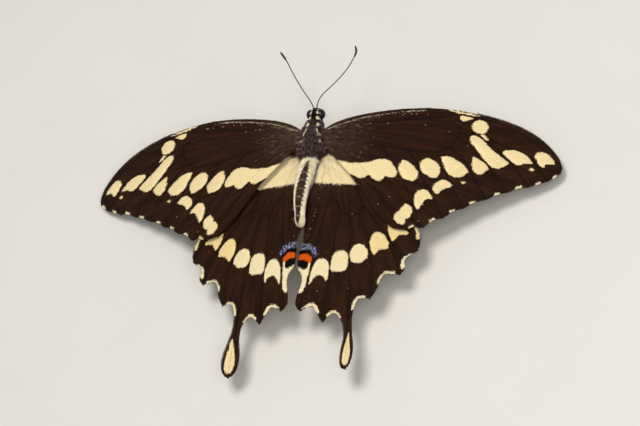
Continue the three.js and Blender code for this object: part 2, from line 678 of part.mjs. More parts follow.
// ================================================================ legs
function leg(pair, side, bodyFrame) {
  const mirror = side === 'right' ? 1 : -1;
  const hip = new THREE.Vector3(LEG.hipX * mirror, pair.hip, THORAX.belly - GAP);
  const toWorld = (list) => vector([list[0] * mirror, list[1] + BODY_FORWARD, list[2]]);
  const top = bodyFrame.localToWorld(hip.clone());
  const coxaEnd = bodyFrame.localToWorld(hip.clone().add(new THREE.Vector3(0.5 * mirror, 0, -1.3)));
  const [knee, ankle, heel, toe] = [pair.knee, pair.ankle, pair.heel, pair.toe].map(toWorld);
  const pieces = [
    rod(top, coxaEnd, LEG.coxaRadius, LEG.coxaRadius * 0.85, 7),
    ball(coxaEnd, LEG.coxaRadius * JOINT),
    rod(coxaEnd, knee, LEG.femurRadius, LEG.femurRadius * 0.85, 7),
    ball(knee, LEG.femurRadius * JOINT),
    rod(knee, ankle, LEG.tibiaRadius, LEG.tibiaRadius * 0.85, 6),
    ball(ankle, LEG.tibiaRadius * JOINT),
    rod(ankle, heel, LEG.tarsusRadius, LEG.tarsusRadius, 6),
    ball(heel, LEG.tarsusRadius * JOINT),
    rod(heel, toe, LEG.tarsusRadius, LEG.tarsusRadius * 0.9, 6),
    ball(toe, LEG.tarsusRadius * JOINT),
  ];
  const aboveFloor = toManifold(box([-60, -60, 0], [60, 90, 40]));
  const solid = union(pieces).intersect(aboveFloor);
  return node(`leg_${pair.name}_${side}`, toGeometry(solid), 'horn');
}

// ================================================================ the butterfly
const butterfly = new THREE.Group();
const body = new THREE.Group();
body.position.set(0, BODY_FORWARD, WING_ROOT_HEIGHT);
body.rotation.x = HEAD_UP;
butterfly.add(body);
butterfly.updateMatrixWorld(true);

body.add(head(), thorax(), abdomen(), proboscis());
for (const side of ['right', 'left']) {
  body.add(eye(side), antenna(side), palp(side), wing('fore', side), wing('hind', side));
  for (const pair of LEG_PAIRS) butterfly.add(leg(pair, side, body));
}

export default butterfly;
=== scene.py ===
# %% [markdown]
# # A giant swallowtail, standing with its wings spread
# A butterfly is thin plates and fine fur around a small body.  The solids that carry it come from
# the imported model, and this lesson gives them their looks: four wings with raised veins, thousands
# of overlapping scales and a fringe, a furred body, faceted eyes, ringed feelers and jointed legs.
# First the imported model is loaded.  Its bodies and nodes never move: every piece is built round
# them, in metres, in the same frame, with +Y forward, +X to the animal's right and +Z up.

# %% Load the frame
import math

import bpy
import numpy as np
from mathutils import Matrix, Vector, kdtree
from mathutils.geometry import delaunay_2d_cdt


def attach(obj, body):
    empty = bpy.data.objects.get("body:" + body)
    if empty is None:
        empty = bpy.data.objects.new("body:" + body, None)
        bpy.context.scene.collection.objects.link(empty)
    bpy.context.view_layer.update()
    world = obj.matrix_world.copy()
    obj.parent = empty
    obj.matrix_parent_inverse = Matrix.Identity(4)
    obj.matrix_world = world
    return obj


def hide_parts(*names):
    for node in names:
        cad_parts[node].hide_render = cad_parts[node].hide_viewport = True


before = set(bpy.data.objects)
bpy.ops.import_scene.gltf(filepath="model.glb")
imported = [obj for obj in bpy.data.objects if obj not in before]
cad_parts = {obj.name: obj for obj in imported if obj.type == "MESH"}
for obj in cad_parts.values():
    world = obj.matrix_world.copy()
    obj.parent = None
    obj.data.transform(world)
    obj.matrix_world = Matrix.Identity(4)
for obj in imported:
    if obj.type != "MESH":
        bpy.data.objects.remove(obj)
bpy.context.view_layer.update()

# %% [markdown]
# The sizes below are in millimetres, which suit an insect.  The body has a frame of its own, with
# its origin midway between the roots of the forewings; it is tilted a little, nose up, and lifted.
# One function takes any point of that frame to the world, in metres.

# %% The body's frame
MM = 0.001
WING_ROOT_HEIGHT = 14.6
HEAD_UP = math.radians(4)
BODY_FORWARD = 20.9


def to_world(points):
    """Points of the body's frame, in mm, as world points in metres."""
    p = np.asarray(points, float)
    c, s = math.cos(HEAD_UP), math.sin(HEAD_UP)
    turned = np.stack([p[..., 0], c * p[..., 1] - s * p[..., 2], s * p[..., 1] + c * p[..., 2]], -1)
    return (turned + (0, BODY_FORWARD, WING_ROOT_HEIGHT)) * MM


def smoothstep(low, high, value):
    """0 below low, 1 above high, and an eased step between."""
    t = np.clip((np.asarray(value, float) - low) / (high - low), 0, 1)
    return t * t * (3 - 2 * t)


print("wing roots at", to_world((0, 0, 0)).round(4))

# %% [markdown]
# Veins, margins and markings are all drawn as smooth curves through a few chosen points.  A
# centripetal Catmull-Rom curve passes through every point and doesn't overshoot in tight bends, so
# it suits shapes read off a real animal.  The curve is then cut into even steps.


# %% Smooth curves
def smooth_curve(points, closed=False, pieces=10):
    """A centripetal curve through points, with a few short pieces between each two."""
    p = np.asarray(points, float)
    if closed:
        p = np.vstack([p[-1:], p, p[:2]])
    else:
        p = np.vstack([2 * p[0] - p[1], p, 2 * p[-1] - p[-2]])
    t = np.linspace(0, 1, pieces, endpoint=False)[:, None]
    out = []
    for a, b, c, d in zip(p[:-3], p[1:-2], p[2:-1], p[3:]):
        t0, t1, t2 = (math.sqrt(np.linalg.norm(v - u)) for u, v in ((a, b), (b, c), (c, d)))
        leave = t1 * ((b - a) / t0 - (c - a) / (t0 + t1) + (c - b) / t1)
        arrive = t1 * ((c - b) / t1 - (d - b) / (t1 + t2) + (d - c) / t2)
        out.append(
            (2 * t**3 - 3 * t**2 + 1) * b + (t**3 - 2 * t**2 + t) * leave
            + (3 * t**2 - 2 * t**3) * c + (t**3 - t**2) * arrive
        )
    if not closed:
        out.append(p[-2:-1])
    return np.vstack(out)


def even_steps(curve, step, closed=False):
    """The same curve in steps of about one length."""
    if closed:
        curve = np.vstack([curve, curve[:1]])
    run = np.r_[0, np.cumsum(np.linalg.norm(np.diff(curve, axis=0), axis=1))]
    count = max(round(run[-1] / step), 2)
    at = np.linspace(0, run[-1], count + 1)
    out = np.stack([np.interp(at, run, curve[:, k]) for k in range(curve.shape[1])], 1)
    return out[:-1] if closed else out


def scaled(points):
    """Directions brought to a length of one."""
    return points / np.maximum(np.linalg.norm(points, axis=-1, keepdims=True), 1e-9)


def circle(count):
    """Even angles round a circle."""
    return np.linspace(0, 2 * np.pi, count, endpoint=False)


def to_segments(points, a, b):
    """Distance from each point to the nearest of the segments a-b."""
    edge = b - a
    gap = points[:, None] - a
    t = np.clip((gap * edge).sum(-1) / (edge**2).sum(-1), 0, 1)
    return np.sqrt(((gap - t[..., None] * edge) ** 2).sum(-1)).min(1)


FAR = 3.0                             # distances beyond this aren't measured, in mm


def inside_by(points, outline):
    """How far inside a closed outline each point lies, in mm: below zero outside it."""
    out = np.full(len(points), -FAR)
    near = ((points > outline.min(0) - FAR) & (points < outline.max(0) + FAR)).all(1)
    p, a, b = points[near], outline, np.roll(outline, -1, 0)
    above = (a[:, 1] > p[:, 1:]) != (b[:, 1] > p[:, 1:])
    rise = np.where(b[:, 1] == a[:, 1], 1, b[:, 1] - a[:, 1])
    left = p[:, :1] < (b[:, 0] - a[:, 0]) * (p[:, 1:] - a[:, 1]) / rise + a[:, 0]
    inside = (above & left).sum(1) % 2 == 1
    out[near] = np.where(inside, 1, -1) * to_segments(p, a, b)
    return np.clip(out, -FAR, FAR)


print("curve test:", len(even_steps(smooth_curve([(0, 0), (1, 2), (3, 3)]), 0.2)), "points")

# %% [markdown]
# A wing is drawn flat, outward (p) and forward (q) of its root.  The named places are where veins
# leave the base, fork, or reach the margin.  A vein, or the margin, runs through such places, with
# a smooth curve from each to the next by way of a few points between.  The solids of the wings are
# built on the same places, so the fine wings below lie exactly in them.

# %% Veins and margins
FORE = {
    "places": {
        "baseFront": (0, 1.4), "scBase": (0, 0.75), "rBase": (0, 0), "cuBase": (0, -0.9),
        "aBase": (0, -1.8), "baseRear": (0, -2.6),
        "r1Fork": (20, 3.9), "r2Fork": (27, 4.1), "r3Fork": (32.5, 3.5), "cellFront": (35.8, 1.6),
        "r5Fork": (38.6, 0.6), "m1Fork": (35.5, -1.2), "m2Fork": (33.7, -4.1),
        "m3Fork": (30.6, -5.6), "cu1Fork": (22.5, -5), "cu2Fork": (15, -3.7),
        "scEnd": (27, 7.6), "r1End": (37.5, 6.5), "r2End": (47, 4.1), "r3End": (62.5, -8.6),
        "r4End": (59.1, -12.8), "r5End": (54.6, -14.7), "m1End": (49.5, -16.4),
        "m2End": (44.1, -18.7), "m3End": (38.6, -21.4), "cu1End": (33.6, -24.1),
        "cu2End": (28.5, -27), "aEnd": (24.6, -27.5),
    },
    "veins": [
        ["scBase", (10, 4.5), (20, 6.1), "scEnd"],
        ["rBase", (10, 2.6), "r1Fork", "r2Fork", "r3Fork", "cellFront", "r5Fork"],
        ["r1Fork", (28, 6.0), "r1End"],
        ["r2Fork", (34, 5.7), (40, 5.4), "r2End"],
        ["r3Fork", (36.2, 3.8), (41, 4.3), (47.5, 2.7), (54, -1.1), (59, -5.1), "r3End"],
        ["r5Fork", (41.3, 0.1), (46.8, -3), (51.5, -4.4), (55, -7), (57.2, -10), "r4End"],
        ["r5Fork", (41.5, -1.2), (45.5, -4.1), (49.6, -8.1), (52.2, -11.4), "r5End"],
        ["cellFront", "m1Fork", "m2Fork", "m3Fork"],
        ["m1Fork", (38.6, -3.4), (41.6, -6.6), (44.8, -10.3), "m1End"],
        ["m2Fork", (37.2, -7.3), (39.5, -11), "m2End"],
        ["m3Fork", (32, -8.5), (33.3, -11.8), (35.6, -16), "m3End"],
        ["cuBase", (8, -2.4), "cu2Fork", "cu1Fork", "m3Fork"],
        ["cu1Fork", (24.8, -8), (27, -12), (30.2, -18), "cu1End"],
        ["cu2Fork", (18.5, -7.2), (20.9, -11.2), (23.5, -16), (26, -21.8), "cu2End"],
        ["aBase", (7, -6), (13.2, -12.6), (17.3, -19), (20.8, -24.2), "aEnd"],
    ],
    "margin": [
        "baseFront", (2, 2.8), (5, 4.2), (9, 5.4), (14, 6.4), (20, 7.2), "scEnd", (32, 7.3),
        "r1End", (42, 5.5), "r2End", (51, 2.5), (54.5, 0.6), (57.5, -1.6), (60, -4.2),
        (61.7, -6.5), "r3End", (62.2, -10.3), (60.9, -11.6), "r4End", (57.0, -13.6), "r5End",
        (52.1, -15.0), "m1End", (46.9, -17.1), "m2End", (41.2, -19.6), "m3End", (36, -22.2),
        "cu1End", (31.2, -24.8), "cu2End", (26.6, -26.6), "aEnd", (22.2, -27.3), (20, -26.2),
        (17.2, -23.5), (14, -19.2), (11, -15.1), (7.5, -10.8), (4, -7), (1.5, -4.3), "baseRear",
        "aBase", "cuBase", "rBase", "scBase", "baseFront",
    ],
}
HIND = {
    "places": {
        "baseFront": (0.2, 1.0), "scBase": (0.2, 0.5), "rBase": (0.2, 0), "cuBase": (0.2, -0.6),
        "aBase": (0.2, -1.15), "baseRear": (0.2, -1.7),
        "rsFork": (9.2, -8.6), "m1Fork": (12.6, -15.8), "m2Fork": (11.4, -18.1),
        "m3Fork": (8.8, -18.6), "cu1Fork": (6.6, -16.8), "cu2Fork": (3.6, -11.8),
        "scEnd": (27.5, -20.6), "rsEnd": (28.2, -27.2), "m1End": (24.0, -35.2),
        "m2End": (17.0, -41.9), "tailTip": (13.2, -61.5), "cu1End": (5.1, -48.2),
        "cu2End": (-1.0, -45.1), "aEnd": (-3.3, -31.2),
    },
    "veins": [
        ["scBase", (6, 0.6), (14, -3.2), (22, -10.8), "scEnd"],
        ["rBase", (4.6, -3), "rsFork", (15, -11.6), (22, -18.6), "rsEnd"],
        ["rsFork", "m1Fork", "m2Fork", "m3Fork", "cu1Fork"],
        ["m1Fork", (17.5, -21.8), (20.3, -26), "m1End"],
        ["m2Fork", (14.3, -24.5), (15.6, -29), (16.9, -35), "m2End"],
        ["m3Fork", (10, -25), (10.6, -31), (11.6, -40), (11.9, -47), (12.6, -55), "tailTip"],
        ["cuBase", (2.3, -5.2), "cu2Fork", "cu1Fork", (5.9, -24), (5.7, -32), (5.4, -40),
         "cu1End"],
        ["cu2Fork", (1.8, -21), (0.6, -30), (-0.4, -38), "cu2End"],
        ["aBase", (1.0, -4), (0.7, -8), (0.3, -12), (0, -16), (-0.6, -20), (-1.5, -25), "aEnd"],
    ],
    "margin": [
        "baseFront", (3, 2), (7, 2.1), (12, 0.6), (17, -3.2), (21.5, -8.2), (25, -13.6), "scEnd",
        (27.2, -22.9), (28.1, -24.6), "rsEnd", (27.4, -29), (25.6, -30), (24.6, -31.8),
        (25, -33.8), "m1End", (22, -34.9), (20.1, -35), (19, -36.6), (18.4, -39.4), "m2End",
        (15.4, -41.7), (13.9, -42.1), (13, -44.3), (12.9, -48.4), (14, -52.4), (15.1, -55.6),
        (15.3, -58.2), (14.7, -60.3), "tailTip", (11.6, -60.7), (10.7, -58.9), (10.5, -56),
        (11.1, -52), (10.8, -48.8), (9.6, -46.6), (8.2, -45.8), (6.9, -46.5), "cu1End", (4, -46),
        (2.3, -43.9), (0.5, -44.4), "cu2End", (-2.3, -43.8), (-2.3, -41.4), (-1.5, -38.4),
        (-1.6, -35.6), (-2.8, -33.6), "aEnd", (-3.0, -28.6), (-2.5, -25.8), (-2.5, -23),
        (-2.85, -19), (-2.95, -15), (-2.6, -12.2), (-1.85, -9.8), (-1.0, -6.5), (-0.6, -4.0),
        "baseRear", "aBase", "cuBase", "rBase", "scBase", "baseFront",
    ],
}
# The scales of a wing all point away from one place near its root.
FORE["rays_from"] = (-5, 1.5)
HIND["rays_from"] = (1.5, 5)
print("veins:", len(FORE["veins"]), "and", len(HIND["veins"]))

# %% [markdown]
# The cream markings are closed curves of a few points each.  With each comes a tint: 0 is the
# palest cream and 1 the yellowest.  The hindwing also has an eyespot at its inner corner: an
# orange moon on black, under an arc of blue scales.

# %% Markings
FORE["cream"] = [
    (0.5, [(55.6, -5.5), (57, -4.5), (59.3, -5.6), (60.6, -7.8), (58.6, -8), (57.8, -9.1),
           (56.3, -7.4)]),
    (0.5, [(47.2, -5), (50, -4.4), (52.6, -5.3), (55, -8), (53, -8.2), (51.5, -8.7), (49.4, -7.3)]),
    (0.5, [(54.3, -9.8), (54.9, -9.4), (55.6, -9.8), (54.9, -10.2)]),
    (0.5, [(38.5, -1.4), (39.4, -0.4), (41, -1), (44, -4), (47.5, -6.9), (49, -8.2), (48, -9.2),
           (46, -9.9), (44, -8.8), (41.2, -5.4)]),
    (0.6, [(41.2, -0.1), (42.3, -0.3), (43.2, -1.8), (42.2, -1.3)]),
    (0.5, [(38.7, 2.4), (39.5, 3.9), (41.2, 4.1), (42.7, 2.9), (42.9, 1.4), (42.2, 0.3),
           (40.6, 0.2), (39.2, 1)]),
    (0.6, [(35.4, 5.3), (38.9, 4.6), (37.4, 4), (36, 3.8)]),
    (0.4, [(32, 7.1), (36.5, 6.4), (40.5, 5.4), (37, 5.7), (33.4, 6.5)]),
    (0.6, [(39.9, -6.8), (41.1, -7.2), (44, -9.8), (43.2, -11), (41.5, -11.8), (40.2, -10.4),
           (39.7, -8.5)]),
    (0.5, [(31.7, -6.9), (33.5, -6.8), (36, -8), (38.8, -10.8), (38, -12.2), (35.6, -12.7),
           (33.8, -11.6), (32.3, -9)]),
    (0.5, [(26.4, -8.8), (27.6, -7.5), (29.4, -7.8), (31.5, -9.8), (31.6, -11.5), (30.7, -13.1),
           (28.2, -12.2), (26.8, -10.8)]),
    (0.55, [(20.9, -9.4), (21.9, -8), (23.9, -9), (26.1, -12), (25.3, -13.8), (22.4, -13.2),
            (21, -11.2)]),
    (0.45, [(4.4, -8.1), (6, -8.2), (8, -8.7), (10, -8.7), (12, -8.7), (14, -8.2), (16, -7.7),
            (18, -8.1), (19.5, -9.6), (20.6, -11.8), (19.6, -13), (17.7, -12.7), (16.9, -13.5),
            (15.9, -14.1), (14.4, -13.3), (13.1, -12.2), (12.2, -13), (11, -13.1), (9.8, -12.7),
            (8, -11.6), (5.5, -9.6)]),
    (0.5, [(30.3, -15.6), (31.4, -14.1), (33.5, -13.6), (35.2, -15.2), (33.9, -15.8), (32.8, -16.4),
           (31.6, -17.6), (30.7, -17)]),
    (0.5, [(25.8, -19), (26.4, -17), (28, -16.4), (29.5, -17.2), (30.4, -18.9), (28.9, -19.2),
           (28, -20.4), (27, -22), (26.1, -20.6)]),
    (0.5, [(22.8, -21.5), (23.8, -20.6), (25.3, -21.4), (25.6, -22.9), (24.9, -24.3),
           (24, -24.7), (24.1, -25.8), (22.8, -26.2), (21.3, -25.2), (21.2, -23.4), (22.4, -22.3)]),
    (0.8, [(37.4, -14.2), (38, -13.8), (38.6, -14.1), (38, -14.6)]),
]
FORE["edge_dots"] = [(60.9, -11.3), (57.1, -13.6), (52.1, -15.0), (47, -17.2), (41, -19.9),
                     (36, -22.4), (31, -25.0), (25.8, -26.9)]
HIND["cream"] = [
    (0.3, [(-3.5, -1.0), (0, -0.5), (3, -0.2), (6, 0.1), (9, -2.4), (12.4, -6.4), (12.6, -8.6),
           (11, -9.5), (8, -9.3), (4, -9.1), (0, -8.7), (-3.5, -8.1)]),
    (0.9, [(19.6, -21.2), (21, -22.2), (23.8, -22.5), (24.9, -23.8), (22.6, -24.3), (21.3, -25.8),
           (20.2, -24.4)]),
    (0.9, [(15.3, -25.5), (16.2, -23.5), (17.5, -23.3), (19.5, -25), (20.2, -27.8), (18, -28.3),
           (16.8, -29.6), (15.6, -27.8)]),
    (0.3, [(10.4, -29.6), (11.1, -27.3), (12.9, -26.6), (14.6, -28), (15.2, -30), (14.2, -31.5),
           (12.4, -32), (11.1, -31.4)]),
    (0.2, [(5.7, -31.5), (6.2, -29.2), (7.9, -28.4), (9.7, -29.2), (10.1, -32), (9.9, -33.9),
           (8, -34.4), (6, -34)]),
    (0.15, [(0.7, -34.8), (1.3, -32.2), (2.6, -30.6), (4.3, -31), (5.3, -33), (5.4, -35.2),
           (5, -37), (4.3, -35.8), (2.8, -35.2), (1.6, -36.2), (0.65, -38)]),
    (0.5, [(11.5, -58.3), (11.5, -56.2), (12.1, -53.8), (12.9, -51.4), (13.7, -54), (14.4, -56.6),
           (14.5, -58.7), (13.6, -60.4), (12.2, -60.1)]),
    # the stripe along the inner margin, and the rim of the eyespot
    (0, [(0.25, -30.6), (0.2, -33), (-0.1, -36.5), (-0.8, -39.8), (-1.8, -40.3), (-2.0, -37.4),
         (-2.0, -35.2), (-3.0, -33.7), (-3.7, -33.2), (-2.6, -32.9), (-1.2, -33.6), (-0.5, -33),
         (-0.25, -31.8)]),
    (0, [(-3.6, -28.9), (-2.9, -28.9), (-3.0, -30.6), (-3.6, -31)]),
]
HIND["edge_moons"] = [
    [(26.7, -21.8), (27.4, -23.3), (27.6, -24.8)],
    [(27, -29.6), (25.3, -30.4), (24.5, -31.6), (24.5, -33.2)],
    [(22.4, -34.9), (20.3, -34.9), (19.1, -36.3), (18.8, -37.6)],
    [(15.6, -41.6), (14, -41.9), (13.1, -43.6), (13, -45)],
    [(6.7, -46.7), (7.6, -45.8), (8.7, -45.9), (9.9, -47.3)],
    [(0.1, -44.7), (1.4, -43.7), (2.6, -43.8), (3.9, -45.6)],
]
HIND["edge_dots"], FORE["edge_moons"], FORE["colours"] = [], [], {}
THINLY = 0.0003                       # share of pale scales strewn over all the dark ground
FORE["pale_lines"] = [                # half width, share of pale scales, course
    (0.1, 0.6, [(0.8, 1.15), (2.5, 1.95), (5, 3.0), (9, 4.25), (14, 5.3), (20, 6.25),
                (26.5, 6.85)]),
    (0.15, 0.06, [(3.5, 1.9), (8, 3.4), (12, 4.3), (18, 5.3), (24, 5.7), (29, 5.6)]),
    (0.15, 0.05, [(8, 2.2), (14, 3.1), (17, 2.7)]),
]
HIND["pale_lines"] = [(0.1, 0.05, [(0.7, -9), (0.3, -12), (0, -16), (-0.6, -20), (-1.5, -25)])]
# The dark band of the underside: its distance from the margin, its half width, and the distances
# from the root between which it begins.
FORE["band"], HIND["band"] = (3.4, 1.3, 25, 32), (8.6, 1.7, 17, 24)
HIND["colours"] = {
    "orange": [(-2.9, -29.5), (-1.5, -29.1), (-0.3, -29.6), (0.5, -30.7), (0.35, -31.8),
               (-0.6, -31.3), (-1.8, -30.9), (-2.95, -30.7)],
    "black": [(-3.4, -27.5), (-2.7, -27), (-0.9, -26.8), (0.7, -27.7), (1.3, -29.5), (0.5, -31),
              (-0.4, -32), (-0.3, -33), (-1.2, -33.6), (-2.6, -33), (-3.5, -31.5)],
    "blue": [(-3.3, -27.7), (-2.9, -26.7), (-0.9, -26.5), (0.8, -27.4), (1.6, -29.3), (1.2, -29.8),
             (0.4, -28.5), (-0.8, -27.7), (-2.2, -27.7)],
}
print("markings:", len(FORE["cream"]), "and", len(HIND["cream"]))

# %% [markdown]
# A node tree, for a material or for geometry, is a list of small steps.  These helpers add one step
# each, so that the trees below read from top to bottom.  Colours are written as they look on a
# screen, from 0 to 255, and turned into the linear values that a renderer needs.


# %% Helpers for node trees
def colour(red, green, blue):
    """A screen colour as linear RGBA."""
    linear = [((v / 255 + 0.055) / 1.055) ** 2.4 if v > 10 else v / 255 / 12.92
              for v in (red, green, blue)]
    return (*linear, 1.0)


def feed(node, inputs):
    """Gives each named socket of a node a value, or a link to another node."""
    for name, value in inputs.items():
        if isinstance(value, bpy.types.NodeSocket):
            node.id_data.links.new(value, node.inputs[name])
        else:
            node.inputs[name].default_value = value


def step(tree, kind, inputs=None, **options):
    """Adds a node: options are its own settings, inputs are values or links for its sockets."""
    node = tree.nodes.new(kind)
    for name, value in options.items():
        setattr(node, name, value)
    feed(node, inputs or {})
    return node


def calc(tree, operation, a, b=0.0, c=0.0):
    """The result of one sum."""
    return step(tree, "ShaderNodeMath", {0: a, 1: b, 2: c}, operation=operation).outputs[0]


def fade(tree, value, low, high, start=0.0, end=1.0):
    """An eased step from start to end as the value goes from low to high."""
    inputs = {"Value": value, "From Min": low, "From Max": high, "To Min": start, "To Max": end}
    return step(tree, "ShaderNodeMapRange", inputs, interpolation_type="SMOOTHSTEP").outputs[0]


def blend(tree, share, a, b):
    """Colour a, going to colour b as the share goes from 0 to 1."""
    return step(tree, "ShaderNodeMix", {0: share, 6: a, 7: b}, data_type="RGBA").outputs[2]


def read(tree, name, output="Fac"):
    """A named attribute of the mesh."""
    return step(tree, "ShaderNodeAttribute", attribute_name=name).outputs[output]


def own_place(tree):
    """Where a point lies in the object's own space, in metres."""
    return step(tree, "ShaderNodeTexCoord").outputs["Object"]


def noise(tree, where, scale, detail=2.0):
    """Soft random blotches at a place."""
    inputs = {"Vector": where, "Scale": scale, "Detail": detail}
    return step(tree, "ShaderNodeTexNoise", inputs).outputs["Fac"]


def stretch(tree, where, by):
    """A place with its three numbers multiplied, to draw a pattern out along one of them."""
    return step(tree, "ShaderNodeVectorMath", {0: where, 1: by}, operation="MULTIPLY").outputs[0]


VALUE, VECTOR, COLOUR = "NodeSocketFloat", "NodeSocketVector", "NodeSocketColor"


def new_group(name, kind, others, numbers, outputs):
    """A node group with named sockets, and its two end nodes; numbers start at a value."""
    tree = bpy.data.node_groups.new(name, kind)
    for label, socket in others.items():
        tree.interface.new_socket(label, in_out="INPUT", socket_type=socket)
    for label, value in numbers.items():
        made = tree.interface.new_socket(label, in_out="INPUT", socket_type=VALUE)
        made.default_value = value
    for label, socket in outputs.items():
        tree.interface.new_socket(label, in_out="OUTPUT", socket_type=socket)
    return tree, tree.nodes.new("NodeGroupInput").outputs, tree.nodes.new("NodeGroupOutput").inputs


def new_material(name, roughness=0.6, **sockets):
    """A material with one Principled shader; the sockets hold what is alike all over it."""
    material = bpy.data.materials.new(name)
    material.use_nodes = True
    tree = material.node_tree
    tree.nodes.clear()
    shader = step(tree, "ShaderNodeBsdfPrincipled", {"Roughness": roughness, **sockets})
    step(tree, "ShaderNodeOutputMaterial", {"Surface": shader.outputs[0]})
    return material, tree, shader


def bumped(tree, height, distance, strength=1.0):
    """A normal bent by a height that is drawn at a real depth, in metres."""
    inputs = {"Height": height, "Distance": distance, "Strength": strength}
    return step(tree, "ShaderNodeBump", inputs).outputs[0]


print("dark brown is", [round(v, 3) for v in colour(50, 30, 22)])

# %% [markdown]
# Meshes are made from arrays: points, faces, and named numbers that belong to each point, such as
# the distance to the nearest marking.  A material reads those numbers by name.


# %% Helpers for meshes
def make_mesh(name, points, faces, numbers=None, smooth=True):
    """A mesh from points in metres and faces, with one named number or vector for each point."""
    mesh = bpy.data.meshes.new(name)
    mesh.from_pydata(np.asarray(points).tolist(), [], [list(f) for f in faces])
    for label, values in (numbers or {}).items():
        values = np.asarray(values, np.float32)
        vector = values.ndim == 2
        kind, key = ("FLOAT_VECTOR", "vector") if vector else ("FLOAT", "value")
        mesh.attributes.new(label, kind, "POINT").data.foreach_set(key, values.ravel())
    if smooth:
        mesh.polygons.foreach_set("use_smooth", np.ones(len(mesh.polygons), bool))
    mesh.update()
    return mesh


def add_object(name, data):
    """A new object in the scene."""
    thing = bpy.data.objects.new(name, data)
    bpy.context.scene.collection.objects.link(thing)
    return thing


def show(name, mesh, slot, *replaced, materials=()):
    """Puts a finished mesh in the scene as a piece that rides on the animal."""
    piece = add_object(name, mesh)
    for material in materials:
        mesh.materials.append(material)
    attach(piece, "root")
    if replaced:
        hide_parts(*replaced)


def fetch(items, key, width=1, kind=np.float32):
    """One property of every item of a collection, as rows of numbers."""
    values = np.zeros(len(items) * width, kind)
    items.foreach_get(key, values)
    return values.reshape(-1, width)


def points_of_corners(mesh):
    """The index of the point at each face corner."""
    return fetch(mesh.loops, "vertex_index", kind=np.int32)[:, 0]


def lay_out(mesh, flat):
    """Gives a mesh the map for its finish, from two numbers for each point or each face corner."""
    flat = np.asarray(flat, np.float32)
    if len(flat) != len(mesh.loops):
        flat = flat[points_of_corners(mesh)]
    mesh.uv_layers.new(name="OFBake").data.foreach_set("uv", flat.ravel())


def show_skin(name, slot, skin, material, *replaced, numbers=None):
    """Shows a piece made of one skin: world points, faces and map."""
    points, faces, flat = skin
    mesh = make_mesh(name, points, faces, numbers)
    lay_out(mesh, flat)
    show(name, mesh, slot, *replaced, materials=(material,))


print("helpers ready")

# %% [markdown]
# The flat wing is a net of small triangles: points along the margin and the veins, and an even
# grid between.  A constrained Delaunay triangulation joins them and keeps the margin.  The wing is
# about a tenth of a millimetre thick, and rises over each vein by a smooth ridge whose height
# comes from the distance to the vein.

# %% Flat wings
NET = {"margin": 0.2, "vein": 0.3, "grid": 0.36, "beside_vein": (0.13, 0.27), "closest": 0.11,
       "grid_closest": 0.216}


def stretches(wing, course):
    """The curves of a vein or of the margin, each from one named place to the next."""
    named = [index for index, item in enumerate(course) if isinstance(item, str)]
    points = [wing["places"].get(item, item) for item in course]
    return [smooth_curve(points[a:b + 1]) for a, b in zip(named, named[1:])]


def keep_apart(points, others, distance):
    """Drops the points that are closer than a distance to any of the others."""
    tree = kdtree.KDTree(len(others))
    for index, (p, q) in enumerate(others):
        tree.insert((p, q, 0), index)
    tree.balance()
    kept = [tree.find((p, q, 0))[2] > distance for p, q in points]
    return points[np.array(kept, bool)]


def spread_out(function, points, *rest):
    """Runs a distance function a few thousand points at a time, to spare memory."""
    parts = np.array_split(points, max(len(points) // 2000, 1))
    return np.concatenate([function(part, *rest) for part in parts])


def flat_wing(wing):
    """Adds to a wing its net of points and triangles, and where its margin and veins run."""
    margin = np.vstack([even_steps(part, NET["margin"])[:-1]
                        for part in stretches(wing, wing["margin"])])
    lines = [even_steps(part, NET["vein"])
             for vein in wing["veins"] for part in stretches(wing, vein)]
    sides = []
    for line in lines:
        across = scaled(np.gradient(line, axis=0)[:, ::-1] * (-1, 1))
        sides += [line + side * gap * across for gap in NET["beside_vein"] for side in (-1, 1)]
    middle = keep_apart(np.unique(np.vstack(lines).round(2), axis=0), margin, NET["closest"])
    beside = np.unique(np.vstack(sides).round(2), axis=0)
    beside = keep_apart(beside, np.vstack([margin, middle]), NET["closest"])
    low, high = margin.min(0), margin.max(0)
    size = NET["grid"]
    columns = np.arange(low[0], high[0], size)
    rows = np.arange(low[1], high[1], size * math.sqrt(0.75))
    p, q = np.meshgrid(columns, rows)
    p = p + size / 2 * (np.arange(len(rows)) % 2)[:, None]
    grid = np.stack([p.ravel(), q.ravel()], 1)
    known = np.vstack([margin, middle, beside])
    grid = keep_apart(grid, known, NET["grid_closest"])
    inner = np.vstack([middle, beside, grid])
    inner = inner[spread_out(inside_by, inner, margin) > NET["closest"] / 2]
    points = np.vstack([margin, inner])
    loop = [(i, (i + 1) % len(margin)) for i in range(len(margin))]
    net = delaunay_2d_cdt([Vector(v) for v in points], loop, [], 1, 1e-5)
    wing["points"] = np.array([v[:] for v in net[0]])
    faces = np.array(net[2])
    a, b, c = (wing["points"][faces[:, k]] for k in range(3))
    turn = (b - a)[:, 0] * (c - a)[:, 1] - (b - a)[:, 1] * (c - a)[:, 0]
    faces[turn < 0] = faces[turn < 0][:, ::-1]
    wing["faces"] = faces[np.abs(turn) > 1e-7]
    wing["outline"], wing["lines"] = margin, lines


for wing in (FORE, HIND):
    flat_wing(wing)
    print("net of", len(wing["points"]), "points and", len(wing["faces"]), "triangles")

# %% [markdown]
# Each point of a wing now gets its numbers: how far it is from the nearest vein and from the
# margin, how far inside each kind of marking, and where it lies on the fan of rays that the scales
# follow.  "Across" counts from ray to ray and "along" from the root outward, so a pattern drawn on
# the two follows the wing.

# %% Numbers of the wings
RAY_SPREAD = 22                       # mm across for each radian of the fan
EDGE_DOT = (0.42, 0.4)                # half length and half width of a dot on the margin
EDGE_MOON = 0.42                      # half width of a pale moon in a notch of the margin
HAZE = {"share": 0.3, "from": 3, "to": 17}     # greyer ground round the root, until so many mm


